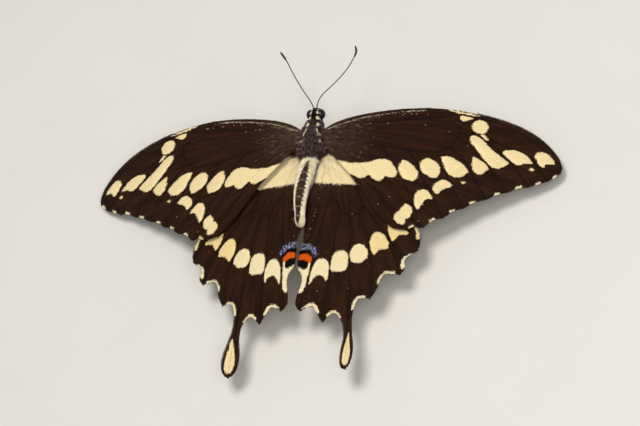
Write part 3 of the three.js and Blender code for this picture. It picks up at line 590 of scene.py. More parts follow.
def drawn(shape, closed=False, pace=0.3):
    """The curve of a marking, in short steps."""
    return even_steps(smooth_curve(shape, closed), pace, closed)


def numbers_at(wing, points):
    """The named numbers of any points of a flat wing."""
    margin = wing["outline"]
    starts = np.vstack([line[:-1] for line in wing["lines"]])
    ends = np.vstack([line[1:] for line in wing["lines"]])
    vein = spread_out(to_segments, points, starts, ends)
    edge = spread_out(to_segments, points, margin, np.roll(margin, -1, 0))
    cream = np.full(len(points), -FAR)
    tint = np.zeros(len(points))
    for yellow, shape in wing["cream"]:
        depth = inside_by(points, drawn(shape, closed=True))
        tint = np.where(depth > cream, yellow, tint)
        cream = np.maximum(cream, depth)
    for centre in wing["edge_dots"]:
        nearest = np.argmin(np.linalg.norm(margin - centre, axis=1))
        along = margin[(nearest + 2) % len(margin)] - margin[nearest - 2]
        reach = EDGE_DOT[0] * along / np.linalg.norm(along)
        dot = to_segments(points, margin[[nearest]] - reach, margin[[nearest]] + reach)
        cream = np.maximum(cream, EDGE_DOT[1] - dot)
    for shape in wing["edge_moons"]:
        moon = drawn(shape)
        cream = np.maximum(cream, EDGE_MOON - to_segments(points, moon[:-1], moon[1:]))
    away = points - wing["rays_from"]
    along = np.linalg.norm(away, axis=1)
    across = RAY_SPREAD * np.arctan2(away[:, 1], away[:, 0])
    numbers = {"vein": vein, "edge": edge, "cream": cream, "tint": tint,
               "ray": np.stack([across, along, np.zeros(len(points))], 1)}
    for name in ("orange", "black", "blue"):
        numbers[name] = np.full(len(points), -FAR)
        if name in wing["colours"]:
            numbers[name] = inside_by(points, drawn(wing["colours"][name], closed=True))
    strewn = np.full(len(points), THINLY)
    for half_width, share, line in wing["pale_lines"]:
        line = drawn(line, pace=0.4)
        near = spread_out(to_segments, points, line[:-1], line[1:])
        strewn = np.maximum(strewn, share * (1 - smoothstep(half_width, 2 * half_width, near)))
    numbers["strewn"] = strewn
    root_distance = np.linalg.norm(points, axis=1)
    numbers["haze"] = HAZE["share"] * (1 - smoothstep(HAZE["from"], HAZE["to"], root_distance))
    from_margin, half_width, *begins = wing["band"]
    numbers["band"] = half_width * smoothstep(*begins, along) - abs(edge - from_margin)
    return numbers


for wing in (FORE, HIND):
    wing["numbers"] = numbers_at(wing, wing["points"])
    print("cream points:", int((wing["numbers"]["cream"] > 0).sum()))

# %% [markdown]
# The flat wing is bent by a short formula, and the inner margin of the hindwing droops beside the
# abdomen.  Then the wing is turned about three axes and set at its root.  Both sides use one
# pattern, the left one mirrored, but each wing has its own angles, as a resting animal has.  A
# slight pleat between the veins lets the light run over the wing.

# %% Set the wings in space
SPAN_UNIT, CHORD_UNIT = 60, 30
TAIL = {"axis": 12.7, "from": 46.5, "to": 53}
FOLD = {"line": 0.2, "depth": 0.2, "from": 5, "full": 10, "until": 22, "end": 28}
FORE["root"], HIND["root"] = (3.3, 0, 0), (3.1, -4.5, -2.05)
FORE["settings"] = {
    "right": {"dihedral": -6.1, "twist": -3.9, "sweep": 0.1, "bend": (-4.2, -0.5, -1.3)},
    "left": {"dihedral": -4.0, "twist": -4.6, "sweep": -0.1, "bend": (-6.6, 3.7, -0.3)},
}
HIND["settings"] = {
    "right": {"dihedral": -4.4, "twist": -1.9, "sweep": 0, "bend": (-3.0, -0.3, 0.2),
              "tail_turn": 37, "fold": 0},
    "left": {"dihedral": -5.9, "twist": -7.2, "sweep": 0, "bend": (-2.8, 1.6, -1.4), "fold": 1},
}
MEMBRANE = 0.12                       # thickness between the veins
RIDGE = {"height": 0.13, "lower_at_tip": 0.45, "width_root": 0.26, "width_tip": 0.13, "reach": 40,
         "at_margin": 0.35, "below": 0.6}      # shares left at the margin and on the lower face
PLEAT = {"height": 0.1, "half_width": 1.6, "margin": 0.6}
AXES = (("sweep", 0, 1), ("dihedral", 0, 2), ("twist", 1, 2))      # the plane that each turns in


def on_wing(wing, side, points, offset):
    """Points of a wing's plane, raised by an offset square to the wing, as world points."""
    setting = wing["settings"][side]
    span, skew, chord = setting["bend"]
    x, y = points[:, 0], points[:, 1]
    p, q = x / SPAN_UNIT, y / CHORD_UNIT
    share = smoothstep(FOLD["from"], FOLD["full"], -y)
    share = share * (1 - smoothstep(FOLD["until"], FOLD["end"], -y))
    past = setting.get("fold", 0) * np.maximum(FOLD["line"] - x, 0)
    slope = 2 * share * FOLD["depth"] * past
    height = span * p * abs(p) + skew * p * q + chord * q * q - share * FOLD["depth"] * past**2
    turn = math.radians(setting.get("tail_turn", 0)) * smoothstep(TAIL["from"], TAIL["to"], -y)
    lean = turn + np.arctan(slope)
    from_axis = np.where(turn > 0, x - TAIL["axis"], 0)
    bent = np.stack([x - from_axis * (1 - np.cos(turn)) - offset * np.sin(lean), y,
                     height + from_axis * np.sin(turn) + offset * np.cos(lean)], 1)
    hinge = np.eye(3)
    for name, i, j in AXES:
        angle, spin = math.radians(setting[name]), np.eye(3)
        spin[i, i] = spin[j, j] = math.cos(angle)
        spin[i, j], spin[j, i] = -math.sin(angle), math.sin(angle)
        hinge = hinge @ spin
    placed = bent @ hinge.T + wing["root"]
    if side == "left":
        placed = placed * (-1, 1, 1)
    return to_world(placed)


def relief(numbers):
    """How far points stand out of the flat membrane: vein ridges and pleats, in mm."""
    vein, along = numbers["vein"], numbers["ray"][:, 1]
    outward = smoothstep(0, RIDGE["reach"], along)
    width = RIDGE["width_root"] + (RIDGE["width_tip"] - RIDGE["width_root"]) * outward
    height = RIDGE["height"] * (1 - RIDGE["lower_at_tip"] * outward)
    ridge = height * np.exp(-((vein / width) ** 2))
    pleat = PLEAT["height"] * smoothstep(0, PLEAT["half_width"], vein)
    inside = smoothstep(0, PLEAT["margin"], numbers["edge"])
    return ridge * (RIDGE["at_margin"] + (1 - RIDGE["at_margin"]) * inside), pleat * inside


def surface(wing, side, points, numbers, face):
    """World places on the upper (1) or the lower (-1) face of a wing."""
    ridge, pleat = relief(numbers)
    height = MEMBRANE / 2 + ridge if face > 0 else -MEMBRANE / 2 - RIDGE["below"] * ridge
    return on_wing(wing, side, points, height + pleat)


for wing in (FORE, HIND):
    print("highest ridge:", relief(wing["numbers"])[0].max().round(3), "mm")

# %% [markdown]
# The colour of a wing is decided scale by scale, so one node group works it out for the membrane
# and for the raised scales alike.  A scale is cream where its root lies inside a marking; noise
# drawn out along the rays and a chance of its own move that border to and fro, which gives the
# ragged edge of real markings.  Single pale scales are strewn where a second number says so, and a
# third one greys the ground near the root.

# %% Colours of the upper side
DARK_BROWN, WARM_BROWN, BLACK_BROWN = colour(35, 18, 8), colour(60, 33, 15), colour(19, 9, 5)
CREAM, YELLOW_CREAM = colour(247, 234, 194), colour(245, 221, 156)
ORANGE, VELVET, BLUE_GREY = colour(218, 90, 12), colour(8, 4, 3), colour(168, 180, 236)

upper_group, given, result = new_group(
    "Upper side scale by scale", "ShaderNodeTree", {"Ray": VECTOR},
    {"Cream": -1, "Tint": 0, "Vein": 1, "Orange": -1, "Black": -1, "Blue": -1, "Strewn": 0,
     "Haze": 0, "Chance": 0.5, "Raggedness": 0.42}, {"Colour": COLOUR})
t = upper_group
fine = noise(t, stretch(t, given["Ray"], (4.6, 0.7, 1)), 1, 3)
broad = noise(t, stretch(t, given["Ray"], (1.1, 0.11, 1)), 1, 3)
shift = calc(t, "MULTIPLY", calc(t, "SUBTRACT", fine, 0.5), given["Raggedness"])
shift = calc(t, "MULTIPLY_ADD", calc(t, "SUBTRACT", given["Chance"], 0.5), 0.2, shift)
ground = blend(t, fade(t, broad, 0.36, 0.66), DARK_BROWN, WARM_BROWN)
ground = blend(t, fade(t, fine, 0.3, 0.75, 0, 0.35), ground, WARM_BROWN)
ground = blend(t, fade(t, given["Chance"], 0, 1, 0.45, 0), ground, BLACK_BROWN)
ground = blend(t, fade(t, given["Vein"], 0.06, 0.24, 0.85, 0), ground, BLACK_BROWN)
hazy = calc(t, "MULTIPLY", given["Haze"], fade(t, given["Chance"], 0.2, 1, 0.1, 1.2))
ground = blend(t, hazy, ground, colour(112, 90, 76))
cream = blend(t, given["Tint"], CREAM, YELLOW_CREAM)
cream = blend(t, fade(t, fine, 0.25, 0.7, 0.16, 0), cream, colour(205, 178, 120))
cream = blend(t, fade(t, given["Vein"], 0.04, 0.13, 0.35, 0), cream, colour(150, 125, 90))


def within(depth, moved=None):
    """1 inside a marking and 0 outside, with its border moved to and fro."""
    total = calc(upper_group, "ADD", depth, shift if moved is None else moved)
    return fade(upper_group, total, -0.03, 0.03)


painted = blend(t, within(given["Cream"]), ground, cream)
strewn = calc(t, "LESS_THAN", given["Chance"], given["Strewn"])
painted = blend(t, calc(t, "MULTIPLY", strewn, 0.45), painted, CREAM)
painted = blend(t, within(given["Black"]), painted, VELVET)
scattered = calc(t, "MULTIPLY", shift, 3.5)
dusted = calc(t, "MULTIPLY", within(given["Blue"], scattered), fade(t, given["Chance"], 0.66, 0.7))
blue = blend(t, fade(t, given["Chance"], 0.84, 0.9), colour(128, 140, 216), colour(232, 236, 252))
painted = blend(t, dusted, painted, blue)
painted = blend(t, within(given["Orange"]), painted, ORANGE)
t.links.new(painted, result["Colour"])
print("upper side:", len(t.nodes), "nodes")

# %% [markdown]
# The underside of this butterfly is the other way round: pale, with the veins and a band near the
# margin drawn dark, and a row of blue and rusty patches across the hindwing.

# %% Colours of the underside
under_group, given, result = new_group(
    "Underside scale by scale", "ShaderNodeTree", {"Ray": VECTOR},
    {"Vein": 1, "Edge": 5, "Band": -1, "Chance": 0.5}, {"Colour": COLOUR})
t = under_group
fine = noise(t, stretch(t, given["Ray"], (4.6, 0.7, 1)), 1, 3)
shift = calc(t, "MULTIPLY", calc(t, "SUBTRACT", fine, 0.5), 0.9)
pale = blend(t, fade(t, given["Chance"], 0, 1), colour(228, 208, 150), colour(240, 228, 188))
on_vein = fade(t, calc(t, "ADD", given["Vein"], calc(t, "MULTIPLY", shift, 0.2)), 0.14, 0.24, 1, 0)
near_edge = fade(t, calc(t, "ADD", given["Edge"], shift), 0.55, 0.7, 1, 0)
band = calc(t, "ADD", given["Band"], shift)
in_band = calc(t, "MULTIPLY", fade(t, band, 0, 0.15), fade(t, given["Vein"], 0.1, 0.4, 0.4, 1))
dark = calc(t, "MAXIMUM", calc(t, "MAXIMUM", on_vein, near_edge), in_band)
painted = blend(t, dark, pale, WARM_BROWN)
blue_part = calc(t, "MULTIPLY", fade(t, band, 0.75, 0.95), fade(t, given["Chance"], 0.3, 0.45))
painted = blend(t, calc(t, "MULTIPLY", blue_part, 0.8), painted, BLUE_GREY)
t.links.new(painted, result["Colour"])
print("underside:", len(t.nodes), "nodes")

# %% [markdown]
# The membrane's own material feeds those groups from the numbers of the mesh.  Between the raised
# scales the eye meets more, smaller ones, so its chances come from the cells of a Voronoi pattern
# stretched like scales, which also gives a fine relief.

# %% Materials of the wings
CELLS = (4.2, 2.3, 1)                 # cells of the drawn scales for each mm across and along
UPPER_NUMBERS = ("cream", "tint", "vein", "orange", "black", "blue", "strewn", "haze", "ray")
UNDER_NUMBERS = ("vein", "edge", "band", "ray")


def read_all(tree, names):
    """Links from named numbers of the mesh to a group's inputs, which have the same names."""
    return {name.capitalize(): read(tree, name, "Vector" if name == "ray" else "Fac")
            for name in names}


def scale_cells(tree, ray):
    """The chance and the relief of the small drawn scales."""
    cells = step(tree, "ShaderNodeTexVoronoi", {"Vector": stretch(tree, ray, CELLS), "Scale": 1},
                 voronoi_dimensions="2D")
    chance = step(tree, "ShaderNodeSeparateColor", {0: cells.outputs["Color"]}).outputs[0]
    return chance, calc(tree, "SUBTRACT", 1.0, cells.outputs["Distance"])


def wing_material(name, under, drawn_scales):
    """The material of one side of the wings: of the membrane, or of its raised scales."""
    material, tree, shader = new_material(name, 0.62, **{
        "Specular IOR Level": 0.05, "Sheen Weight": 0.012, "Sheen Roughness": 0.4})
    inputs = read_all(tree, (*(UNDER_NUMBERS if under else UPPER_NUMBERS), "chance"))
    if drawn_scales:
        inputs["Chance"], height = scale_cells(tree, inputs["Ray"])
        feed(shader, {"Normal": bumped(tree, height, 0.00004, 0.5)})
    group = step(tree, "ShaderNodeGroup", inputs, node_tree=under_group if under else upper_group)
    feed(shader, {"Base Color": group.outputs[0]})
    return material


upper_membrane = wing_material("upper side of the membrane", False, True)
under_membrane = wing_material("underside of the membrane", True, True)
upper_scales = wing_material("raised scales of the upper side", False, False)
under_scales = wing_material("raised scales of the underside", True, False)
print("wing materials:", upper_membrane.name, "and three more")

# %% [markdown]
# Now the membranes: the upper and lower faces share one net, and a wall of small faces joins them
# round the margin, so that each wing is one closed, thin solid.

# %% Membranes
MAP_GAP = 0.01                        # empty border of the map


def flat_map(wing, points, face):
    """Where points of one face lie on the wing's map: both faces fit in one square."""
    low, size = wing["points"].min(0), np.ptp(wing["points"], axis=0)
    short = int(size[0] > size[1])
    scale = (1 - 2 * MAP_GAP) / max(size.max(), 2 * size.min() + 1)
    place = (points - low) * scale + MAP_GAP
    place[:, short] += (face < 0) * (size.min() + 1) * scale
    return place


def membrane(wing, kind, side):
    """One whole wing."""
    points, faces = wing["points"], wing["faces"]
    count, rim = len(points), len(wing["outline"])
    top, bottom = (surface(wing, side, points, wing["numbers"], face) for face in (1, -1))
    here = np.arange(rim)
    after = (here + 1) % rim
    walls = np.stack([here + count, after + count, after, here], 1)
    under = faces[:, ::-1] + count
    flip = slice(None, None, -1 if side == "left" else 1)
    solid = [*faces[:, flip].tolist(), *under[:, flip].tolist(), *walls[:, flip].tolist()]
    numbers = {name: np.concatenate([v, v]) for name, v in wing["numbers"].items()}
    mesh = make_mesh(f"{kind}wing {side}", np.vstack([top, bottom]), solid, numbers)
    lay_out(mesh, np.vstack([flat_map(wing, points, face) for face in (1, -1)]))
    show(f"{kind}wing_membrane_{side}", mesh, "wing_scales", f"{kind}wing_{side}",
         materials=(upper_membrane, under_membrane))
    side_of = np.zeros(len(mesh.polygons), np.int32)
    side_of[len(faces):2 * len(faces)] = 1
    mesh.polygons.foreach_set("material_index", side_of)
    return mesh


WINGS = [(FORE, "fore"), (HIND, "hind")]
for wing, kind in WINGS:
    for side in ("right", "left"):
        made = membrane(wing, kind, side)
        print(made.name, len(made.polygons), "faces")

# %% [markdown]
# Round parts, such as the body, the eyes and the legs, are skins over rings of points.  One helper
# closes such a skin with a pole at each end and lays its map out as one rectangle.  Another makes
# the rings round a curved path, with a radius for each point of it, and keeps them from twisting.

# %% Helpers for round parts
def loft(rings, tile=(0, 0, 1, 1)):
    """Points, faces and map of a closed skin over rings of points; the map fills one rectangle."""
    rings = np.asarray(rings, float)
    count, around = rings.shape[:2]
    points = np.vstack([rings.reshape(-1, 3), rings[[0, -1]].mean(1)])
    first, last = count * around, count * around + 1
    faces, flat = [], []
    for j in range(around):
        k = (j + 1) % around
        faces.append((first, k, j))
        flat += [(0, j + 0.5), (0, j + 1), (0, j)]
        for i in range(count - 1):
            a, b = i * around, (i + 1) * around
            faces.append((a + j, a + k, b + k, b + j))
            flat += [(i, j), (i, j + 1), (i + 1, j + 1), (i + 1, j)]
        faces.append((b + j, b + k, last))
        flat += [(count - 1, j), (count - 1, j + 1), (count - 1, j + 0.5)]
    edge = points[[f[:3] for f in faces]] - points.mean(0)
    if np.einsum("ij,ij->i", edge[:, 0], np.cross(edge[:, 1], edge[:, 2])).sum() < 0:
        faces = [f[::-1] for f in faces]
        ends = np.cumsum([len(f) for f in faces])
        flat = [p for end, f in zip(ends, faces) for p in flat[end - len(f):end][::-1]]
    flat = np.array(flat) / (count - 1, around) * (tile[2], tile[3]) + (tile[0], tile[1])
    return points, faces, flat


def joined(parts):
    """Several skins as one list of points, of faces and of map places."""
    points, faces, start = [], [], 0
    for part_points, part_faces, _ in parts:
        points.append(part_points)
        faces += [tuple(i + start for i in face) for face in part_faces]
        start += len(part_points)
    return np.vstack(points), faces, np.vstack([part[2] for part in parts])


SIDEWAYS = (0.13, 0.3, 1.0)           # no limb points this way, so it can be crossed with any


def limb(path, radii, around=14, tile=(0, 0, 1, 1)):
    """A round limb along a path, with a radius for each point of it."""
    path = np.asarray(path, float)
    ahead = scaled(np.gradient(path, axis=0))
    side = np.cross(ahead[0], SIDEWAYS)
    angle = circle(around)[:, None]
    rings = []
    for centre, forward, radius in zip(path, ahead, np.broadcast_to(radii, len(path))):
        side = scaled(side - forward * (side @ forward))
        up = np.cross(side, forward)
        rings.append(centre + radius * (np.cos(angle) * side + np.sin(angle) * up))
    return loft(rings, tile)


test = limb([(0, 0, 0), (0, 1, 0), (0, 2, 1)], 0.3)
print("limb test:", len(test[0]), "points", len(test[1]), "faces")

# %% [markdown]
# The body is one skin from the brow to the tip of the abdomen, so that the coat can run over it
# without a break.  Its rings are read off a table: the place along the body, half the width, the
# height above and the depth below the ring's centre, and the centre's own height.  It stays inside
# the solids by the depth of the coat, which is thick on the thorax and thin on the abdomen.

# %% Skin of the body
BODY_RINGS = [
    (7.85, 0.3, 0.3, 0.3, -1.1), (7.6, 0.7, 0.62, 0.7, -1.1), (7.0, 1.15, 1.02, 1.2, -1.1),
    (6.3, 1.32, 1.35, 1.5, -1.1), (5.6, 1.4, 1.38, 1.5, -1.1), (4.95, 1.4, 1.2, 1.3, -1.1),
    (4.5, 1.35, 1.0, 1.1, -1.1), (4.1, 1.55, 1.15, 1.25, -1.08), (3.7, 1.8, 1.45, 1.5, -1.05),
    (3.0, 2.05, 1.95, 2.0, -1.0), (1.5, 2.4, 2.5, 2.4, -1.0), (0, 2.5, 2.72, 2.45, -1.0),
    (-2, 2.5, 2.75, 2.45, -1.0), (-4, 2.45, 2.6, 2.4, -1.0), (-5.4, 2.25, 2.3, 2.2, -0.98),
    (-6.3, 1.7, 1.7, 1.7, -0.92), (-6.95, 1.33, 1.3, 1.35, -0.78), (-7.8, 1.38, 1.45, 1.42, -0.45),
    (-10, 1.64, 1.8, 1.8, 0.28), (-14, 1.79, 1.96, 1.96, 1.3), (-18, 1.7, 1.88, 1.88, 1.93),
    (-22, 1.39, 1.55, 1.55, 1.9), (-24.8, 1.1, 1.2, 1.2, 1.5), (-26.1, 0.85, 0.9, 0.9, 1.18),
    (-26.55, 0.4, 0.4, 0.4, 1.05),
]
SWAY = [(-26.9, 0.2), (-21, -0.28), (-16, -0.36), (-12, -0.26), (-7.1, 0)]     # y, sideways
AROUND, RING_STEP = 96, 0.2
SEGMENTS = [-9.6, -12.05, -14.5, -17.0, -19.5, -21.95, -24.3]      # y of the seams
SEAM = {"depth": 0.045, "width": 0.11}
COLLAR_DEPTH = 0.05
COLLARS = [(3.35, 0.16, 1, False), (-4.35, 0.2, 0.8, True)]        # y, width, share, on top only
HINGES = [(-0.6, -0.05, 2.4), (-4.8, -2.0, 1.5)]   # each pair of wings: y, z, half length
HINGE = {"out": 2.85, "height": 0.42}              # the skin swells to this half width there
SHOULDER = {"x": 1.85, "y": 0.7, "wide": 0.55, "long": 1.7, "height": 0.16}
FURROW = {"depth": 0.1, "width": 0.22}             # along the middle of the back


def skin_at(ring, angle):
    """Points of the skin, in the body's frame, at an angle from the top of each ring."""
    y, width, above, below, centre = np.moveaxis(np.asarray(ring, float), -1, 0)
    s, c = np.sin(angle), np.cos(angle)
    top = np.maximum(c, 0)
    groove = sum(np.exp(-((y - line) / SEAM["width"]) ** 2) for line in SEGMENTS)
    collar = sum(share * np.exp(-((y - line) / wide) ** 2) * (top if above_only else 1)
                 for line, wide, share, above_only in COLLARS)
    shrink = 1 - SEAM["depth"] * groove - COLLAR_DEPTH * collar
    x = width * s * shrink
    z = centre + np.where(c > 0, above, below) * c * shrink
    for middle, height, reach in HINGES:
        near = np.exp(-((z - height) / HINGE["height"]) ** 2 - ((y - middle) / reach) ** 4)
        swell = np.maximum(HINGE["out"] - abs(x), 0) * near
        x = x + np.sign(s) * swell * smoothstep(0.5, 0.9, abs(s))
    beside = (abs(x) - SHOULDER["x"]) / SHOULDER["wide"]
    shoulder = np.exp(-beside ** 2 - ((y - SHOULDER["y"]) / SHOULDER["long"]) ** 2) * (c > 0)
    furrow = np.exp(-(x / FURROW["width"]) ** 2) * (c > 0)
    furrow = furrow * smoothstep(-4.4, -3, y) * smoothstep(3.2, 2, y)
    z = z + SHOULDER["height"] * shoulder - FURROW["depth"] * furrow
    return np.stack([x + np.interp(y, *zip(*SWAY)), y + 0 * x, z], -1)


body_rings = even_steps(smooth_curve(BODY_RINGS), RING_STEP)
ring_angles = circle(AROUND) + np.pi
skin_rings = skin_at(body_rings[:, None], ring_angles[None])
skin_points, skin_faces, skin_map = loft(skin_rings)
print("skin:", len(skin_faces), "faces in", len(body_rings), "rings")

# %% [markdown]
# The body's markings are numbers too.  On the thorax and head, "cream" says how far inside a pale
# spot or stripe a point lies; on the abdomen it is pale everywhere but in the dark stripe along the
# back.  The same function serves the skin and every hair that grows on it.

# %% Markings of the body
BODY_SPOTS = [                        # from, to, both (x, y) on the back, half width
    ((0.66, 7.2), (0.7, 7.35), 0.14), ((0.84, 6.1), (0.74, 6.55), 0.2),
    ((0.95, 4.6), (0.93, 5.0), 0.32), ((1.12, 2.15), (1.08, 2.8), 0.25),
    ((1.15, 1.2), (1.9, -0.35), 0.14), ((2.45, -1.7), (2.3, -2.2), 0.12),
]
CHEEK = [(1.55, 5.7), (1.9, 5.1), (2.1, 4.6), (2.4, 3.0)]      # pale stripe behind each eye
CHEEK_HALF, TEETH = 0.24, {"height": 0.12, "pace": 5.2, "front_of": (-23, -21)}
SPOTS_ABOVE, CHEEK_ABOVE, BELLY_BELOW, PALE_BEHIND = -1.2, -1.9, -2.5, -6.3
TURNED = [(-1, 0.1), (1, 0.33), (2.4, 0.4), (4.7, -0.07)]      # y, shift of the markings
# The dark stripe of the abdomen: y, its middle, its half width.
STRIPE = [(-27, -0.2, -0.3), (-26.2, -0.2, 0.1), (-25, -0.12, 0.5), (-22.9, -0.1, 0.68),
          (-21.9, -0.08, 0.74), (-19.2, -0.06, 1.02), (-16.4, 0.07, 1.04), (-14, 0.17, 0.94),
          (-11.4, 0.33, 0.72), (-9.4, 0.42, 0.36), (-8.1, 0.43, 0.1), (-7, 0.4, -0.6)]
ABDOMEN_FROM = -7.0


def body_numbers(points):
    """The named numbers of points of the body."""
    x, y, z = points.T
    flat = np.stack([abs(x - np.interp(y, *zip(*TURNED))), y], 1)
    cream = np.full(len(points), -FAR)
    for start, end, half_width in BODY_SPOTS:
        near = to_segments(flat, np.array([start]), np.array([end]))
        cream = np.maximum(cream, np.where(z > SPOTS_ABOVE, half_width - near, -FAR))
    cheek = CHEEK_HALF - to_segments(flat, np.array(CHEEK[:-1]), np.array(CHEEK[1:]))
    cream = np.maximum(cream, np.where(z > CHEEK_ABOVE, cheek, -FAR))
    cream = np.maximum(cream, np.minimum((BELLY_BELOW - z) * 0.8, 0.4))
    cream = np.maximum(cream, np.minimum(PALE_BEHIND - y, 1))
    along, *rows = smooth_curve(STRIPE).T
    middle, half = (np.interp(y, along, row) for row in rows)
    teeth = TEETH["height"] * np.sin(TEETH["pace"] * y) * smoothstep(*TEETH["front_of"], y)
    behind = np.where(z > 0, abs(x - middle) - half - teeth, 1)
    cream = np.where(y < ABDOMEN_FROM, behind, cream)
    ring = np.abs(np.subtract.outer(y, np.array(SEGMENTS))).min(1)
    return {"cream": cream, "seam": ring, "rear": smoothstep(-6.6, -7.4, y)}


print("pale share of the skin:", round(float((body_numbers(skin_points)["cream"] > 0).mean()), 2))

# %% Colours of the body
NECK = (0.0245, 0.0252)               # y in metres: the head, in front of this, is darker
body_group, given, result = new_group(
    "Body hair by hair", "ShaderNodeTree", {},
    {"Cream": -1, "Seam": 1, "Rear": 0, "Chance": 0.5}, {"Colour": COLOUR})
t = body_group
place = own_place(t)
patches = noise(t, place, 900, 3)
# Noise for violet-grey flecks, which are partly pale hairs and partly a painted sheen on the dark
# hair.
flecks_and_sheen = noise(t, stretch(t, place, (3600, 1500, 3600)), 1, 2)
strands = noise(t, stretch(t, place, (2600, 500, 2600)), 1, 2)
dark = blend(t, fade(t, patches, 0.35, 0.65), colour(26, 16, 11), colour(50, 33, 23))
dark = blend(t, fade(t, strands, 0.5, 0.62, 0, 0.8), dark, colour(96, 68, 46))
# Violet-grey flecks: partly pale hairs, partly the violet sheen of the dark hair painted in as
# colour.
dark = blend(t, fade(t, flecks_and_sheen, 0.59, 0.65, 0, 0.8), dark, colour(156, 128, 130))
dark = blend(t, fade(t, given["Chance"], 0.88, 0.94, 0, 0.7), dark, colour(168, 150, 150))
forward = step(t, "ShaderNodeSeparateXYZ", {"Vector": place}).outputs["Y"]
dark = blend(t, fade(t, forward, *NECK, 1, 0.12), colour(10, 5, 3), dark)
lighter = fade(t, given["Chance"], 0.3, 1, 0, 0.8)
dark_rear = blend(t, lighter, colour(34, 20, 16), colour(100, 76, 62))
dark = blend(t, given["Rear"], dark, dark_rear)
pale = blend(t, given["Chance"], colour(252, 240, 198), colour(255, 249, 226))
pale = blend(t, fade(t, patches, 0.45, 0.75, 0, 0.25), pale, colour(236, 216, 160))
moved = calc(t, "MULTIPLY_ADD", calc(t, "SUBTRACT", given["Chance"], 0.5), 0.3, given["Cream"])
painted = blend(t, fade(t, moved, -0.03, 0.03), dark, pale)
in_seam = calc(t, "MULTIPLY", fade(t, given["Seam"], 0.08, 0.22, 0.6, 0), given["Rear"])
painted = blend(t, in_seam, painted, colour(196, 176, 140))
t.links.new(painted, result["Colour"])


def body_material(name, drawn_hair, roughness):
    """The material of the body's skin, or of the hair on it."""
    material, tree, shader = new_material(name, roughness, **{
        "Specular IOR Level": 0.1, "Sheen Weight": 0.02, "Sheen Roughness": 0.35})
    inputs = read_all(tree, ("cream", "seam", "rear", "chance"))
    if drawn_hair:
        where = own_place(tree)
        inputs["Chance"] = noise(tree, stretch(tree, where, (9000, 2500, 9000)), 1, 2)
        feed(shader, {"Normal": bumped(tree, inputs["Chance"], 0.00012, 0.8)})
    group = step(tree, "ShaderNodeGroup", inputs, node_tree=body_group)
    feed(shader, {"Base Color": group.outputs[0]})
    return material


skin_material = body_material("hairy skin", True, 0.7)
fur_material = body_material("body fur", False, 0.5)
print("body colours:", len(body_group.nodes), "nodes")

# %% Put the skin on
whole_skin = to_world(skin_points), skin_faces, skin_map
show_skin("body_skin", "body_fur", whole_skin, skin_material, "head", "thorax", "abdomen",
          numbers=body_numbers(skin_points))
print("skin measures", [round(v / MM, 1) for v in np.ptp(whole_skin[0], axis=0)], "mm")

# %% [markdown]
# Scales and hairs are small solid tufts.  A scale is a thin plate, narrow at its root and toothed
# at its tip; a hair is a bent, tapered blade of three sides.  Each has only eight or ten
# triangles, because there are many thousands.  "patch" is each corner's place on the tuft, from 0
# to 1.

# %% Tufts
SCALE = ([(0, 0, 0), (-0.5, 0.55, -0.15), (-0.3, 0.97, -0.2), (0.3, 0.97, -0.2), (0.5, 0.55, -0.15),
          (0, 0.6, 0.5)],
         [(0, 1, 4), (1, 2, 3), (1, 3, 4), (5, 1, 0), (5, 2, 1), (5, 3, 2), (5, 4, 3), (5, 0, 4)])
HAIR = ([(-0.5, 0, 0), (0.5, 0, 0), (0, 0, 0.8), (-0.42, 0.55, 0.5), (0.42, 0.55, 0.5),
         (0, 0.55, 1.2), (0, 1, -0.3)],
        [(0, 2, 1), (0, 1, 4, 3), (1, 2, 5, 4), (2, 0, 3, 5), (3, 4, 6), (4, 5, 6), (5, 3, 6)])


def tuft(name, points, faces, flat=None):
    """A tuft one unit long and wide, lying along Y with its upper face towards Z."""
    points, faces = np.array(points, float), [tuple(f) for f in faces]
    a, b, c = (points[[f[k] for f in faces]] - points.mean(0) for k in range(3))
    if np.einsum("ij,ij->i", a, np.cross(b, c)).sum() < 0:
        faces = [f[::-1] for f in faces]
    mesh = make_mesh(name, points, faces, {"along": points[:, 1]})
    if flat is None:
        flat = (points - points.min(0)) / np.ptp(points, axis=0)
        flat = flat[[i for f in faces for i in f], :2]
    patch = mesh.attributes.new("patch", "FLOAT2", "CORNER")
    patch.data.foreach_set("vector", np.asarray(flat, np.float32).ravel())
    return bpy.data.objects.new(name, mesh)


scale_tuft, hair_tuft = tuft("scale", *SCALE), tuft("hair", *HAIR)
print("tufts of", len(SCALE[1]), "and", len(HAIR[1]), "faces")

# %% [markdown]
# Where each tuft grows is worked out as a point with numbers of its own: the way it lies, the way
# out of the skin, its length, and its colours.  Geometry Nodes then set a tuft on each: turned to
# its lie, lifted a little, and varied by a fixed random seed.  The instances are realized at the
# end, and each tuft keeps the numbers of its root, so that a scale has one colour all over.

# %% Node tree that lays tufts
lay_tree, given, result = new_group(
    "Lay tufts along the lie", "GeometryNodeTree",
    {"Roots": "NodeSocketGeometry", "Tuft": "NodeSocketObject", "Seed": "NodeSocketInt",
     "Material": "NodeSocketMaterial"},
    {"Width": 0.0002, "Length": 0.0005, "Thickness": 0.00002, "Lift": 0.15, "Wander": 0.1,
     "Variety": 0.15}, {"Tufts": "NodeSocketGeometry"})
t = lay_tree


def random_between(low, high, seed):
    """A random number for each root; 2 and 3 are the sockets of a plain number's limits."""
    offset = step(lay_tree, "ShaderNodeMath", {0: given["Seed"], 1: seed}).outputs[0]
    inputs = {2: low, 3: high, "Seed": offset}
    return step(lay_tree, "FunctionNodeRandomValue", inputs, data_type="FLOAT").outputs[1]


def swing(size, seed):
    """A random angle up to a size either way."""
    return random_between(calc(lay_tree, "MULTIPLY", size, -1), size, seed)


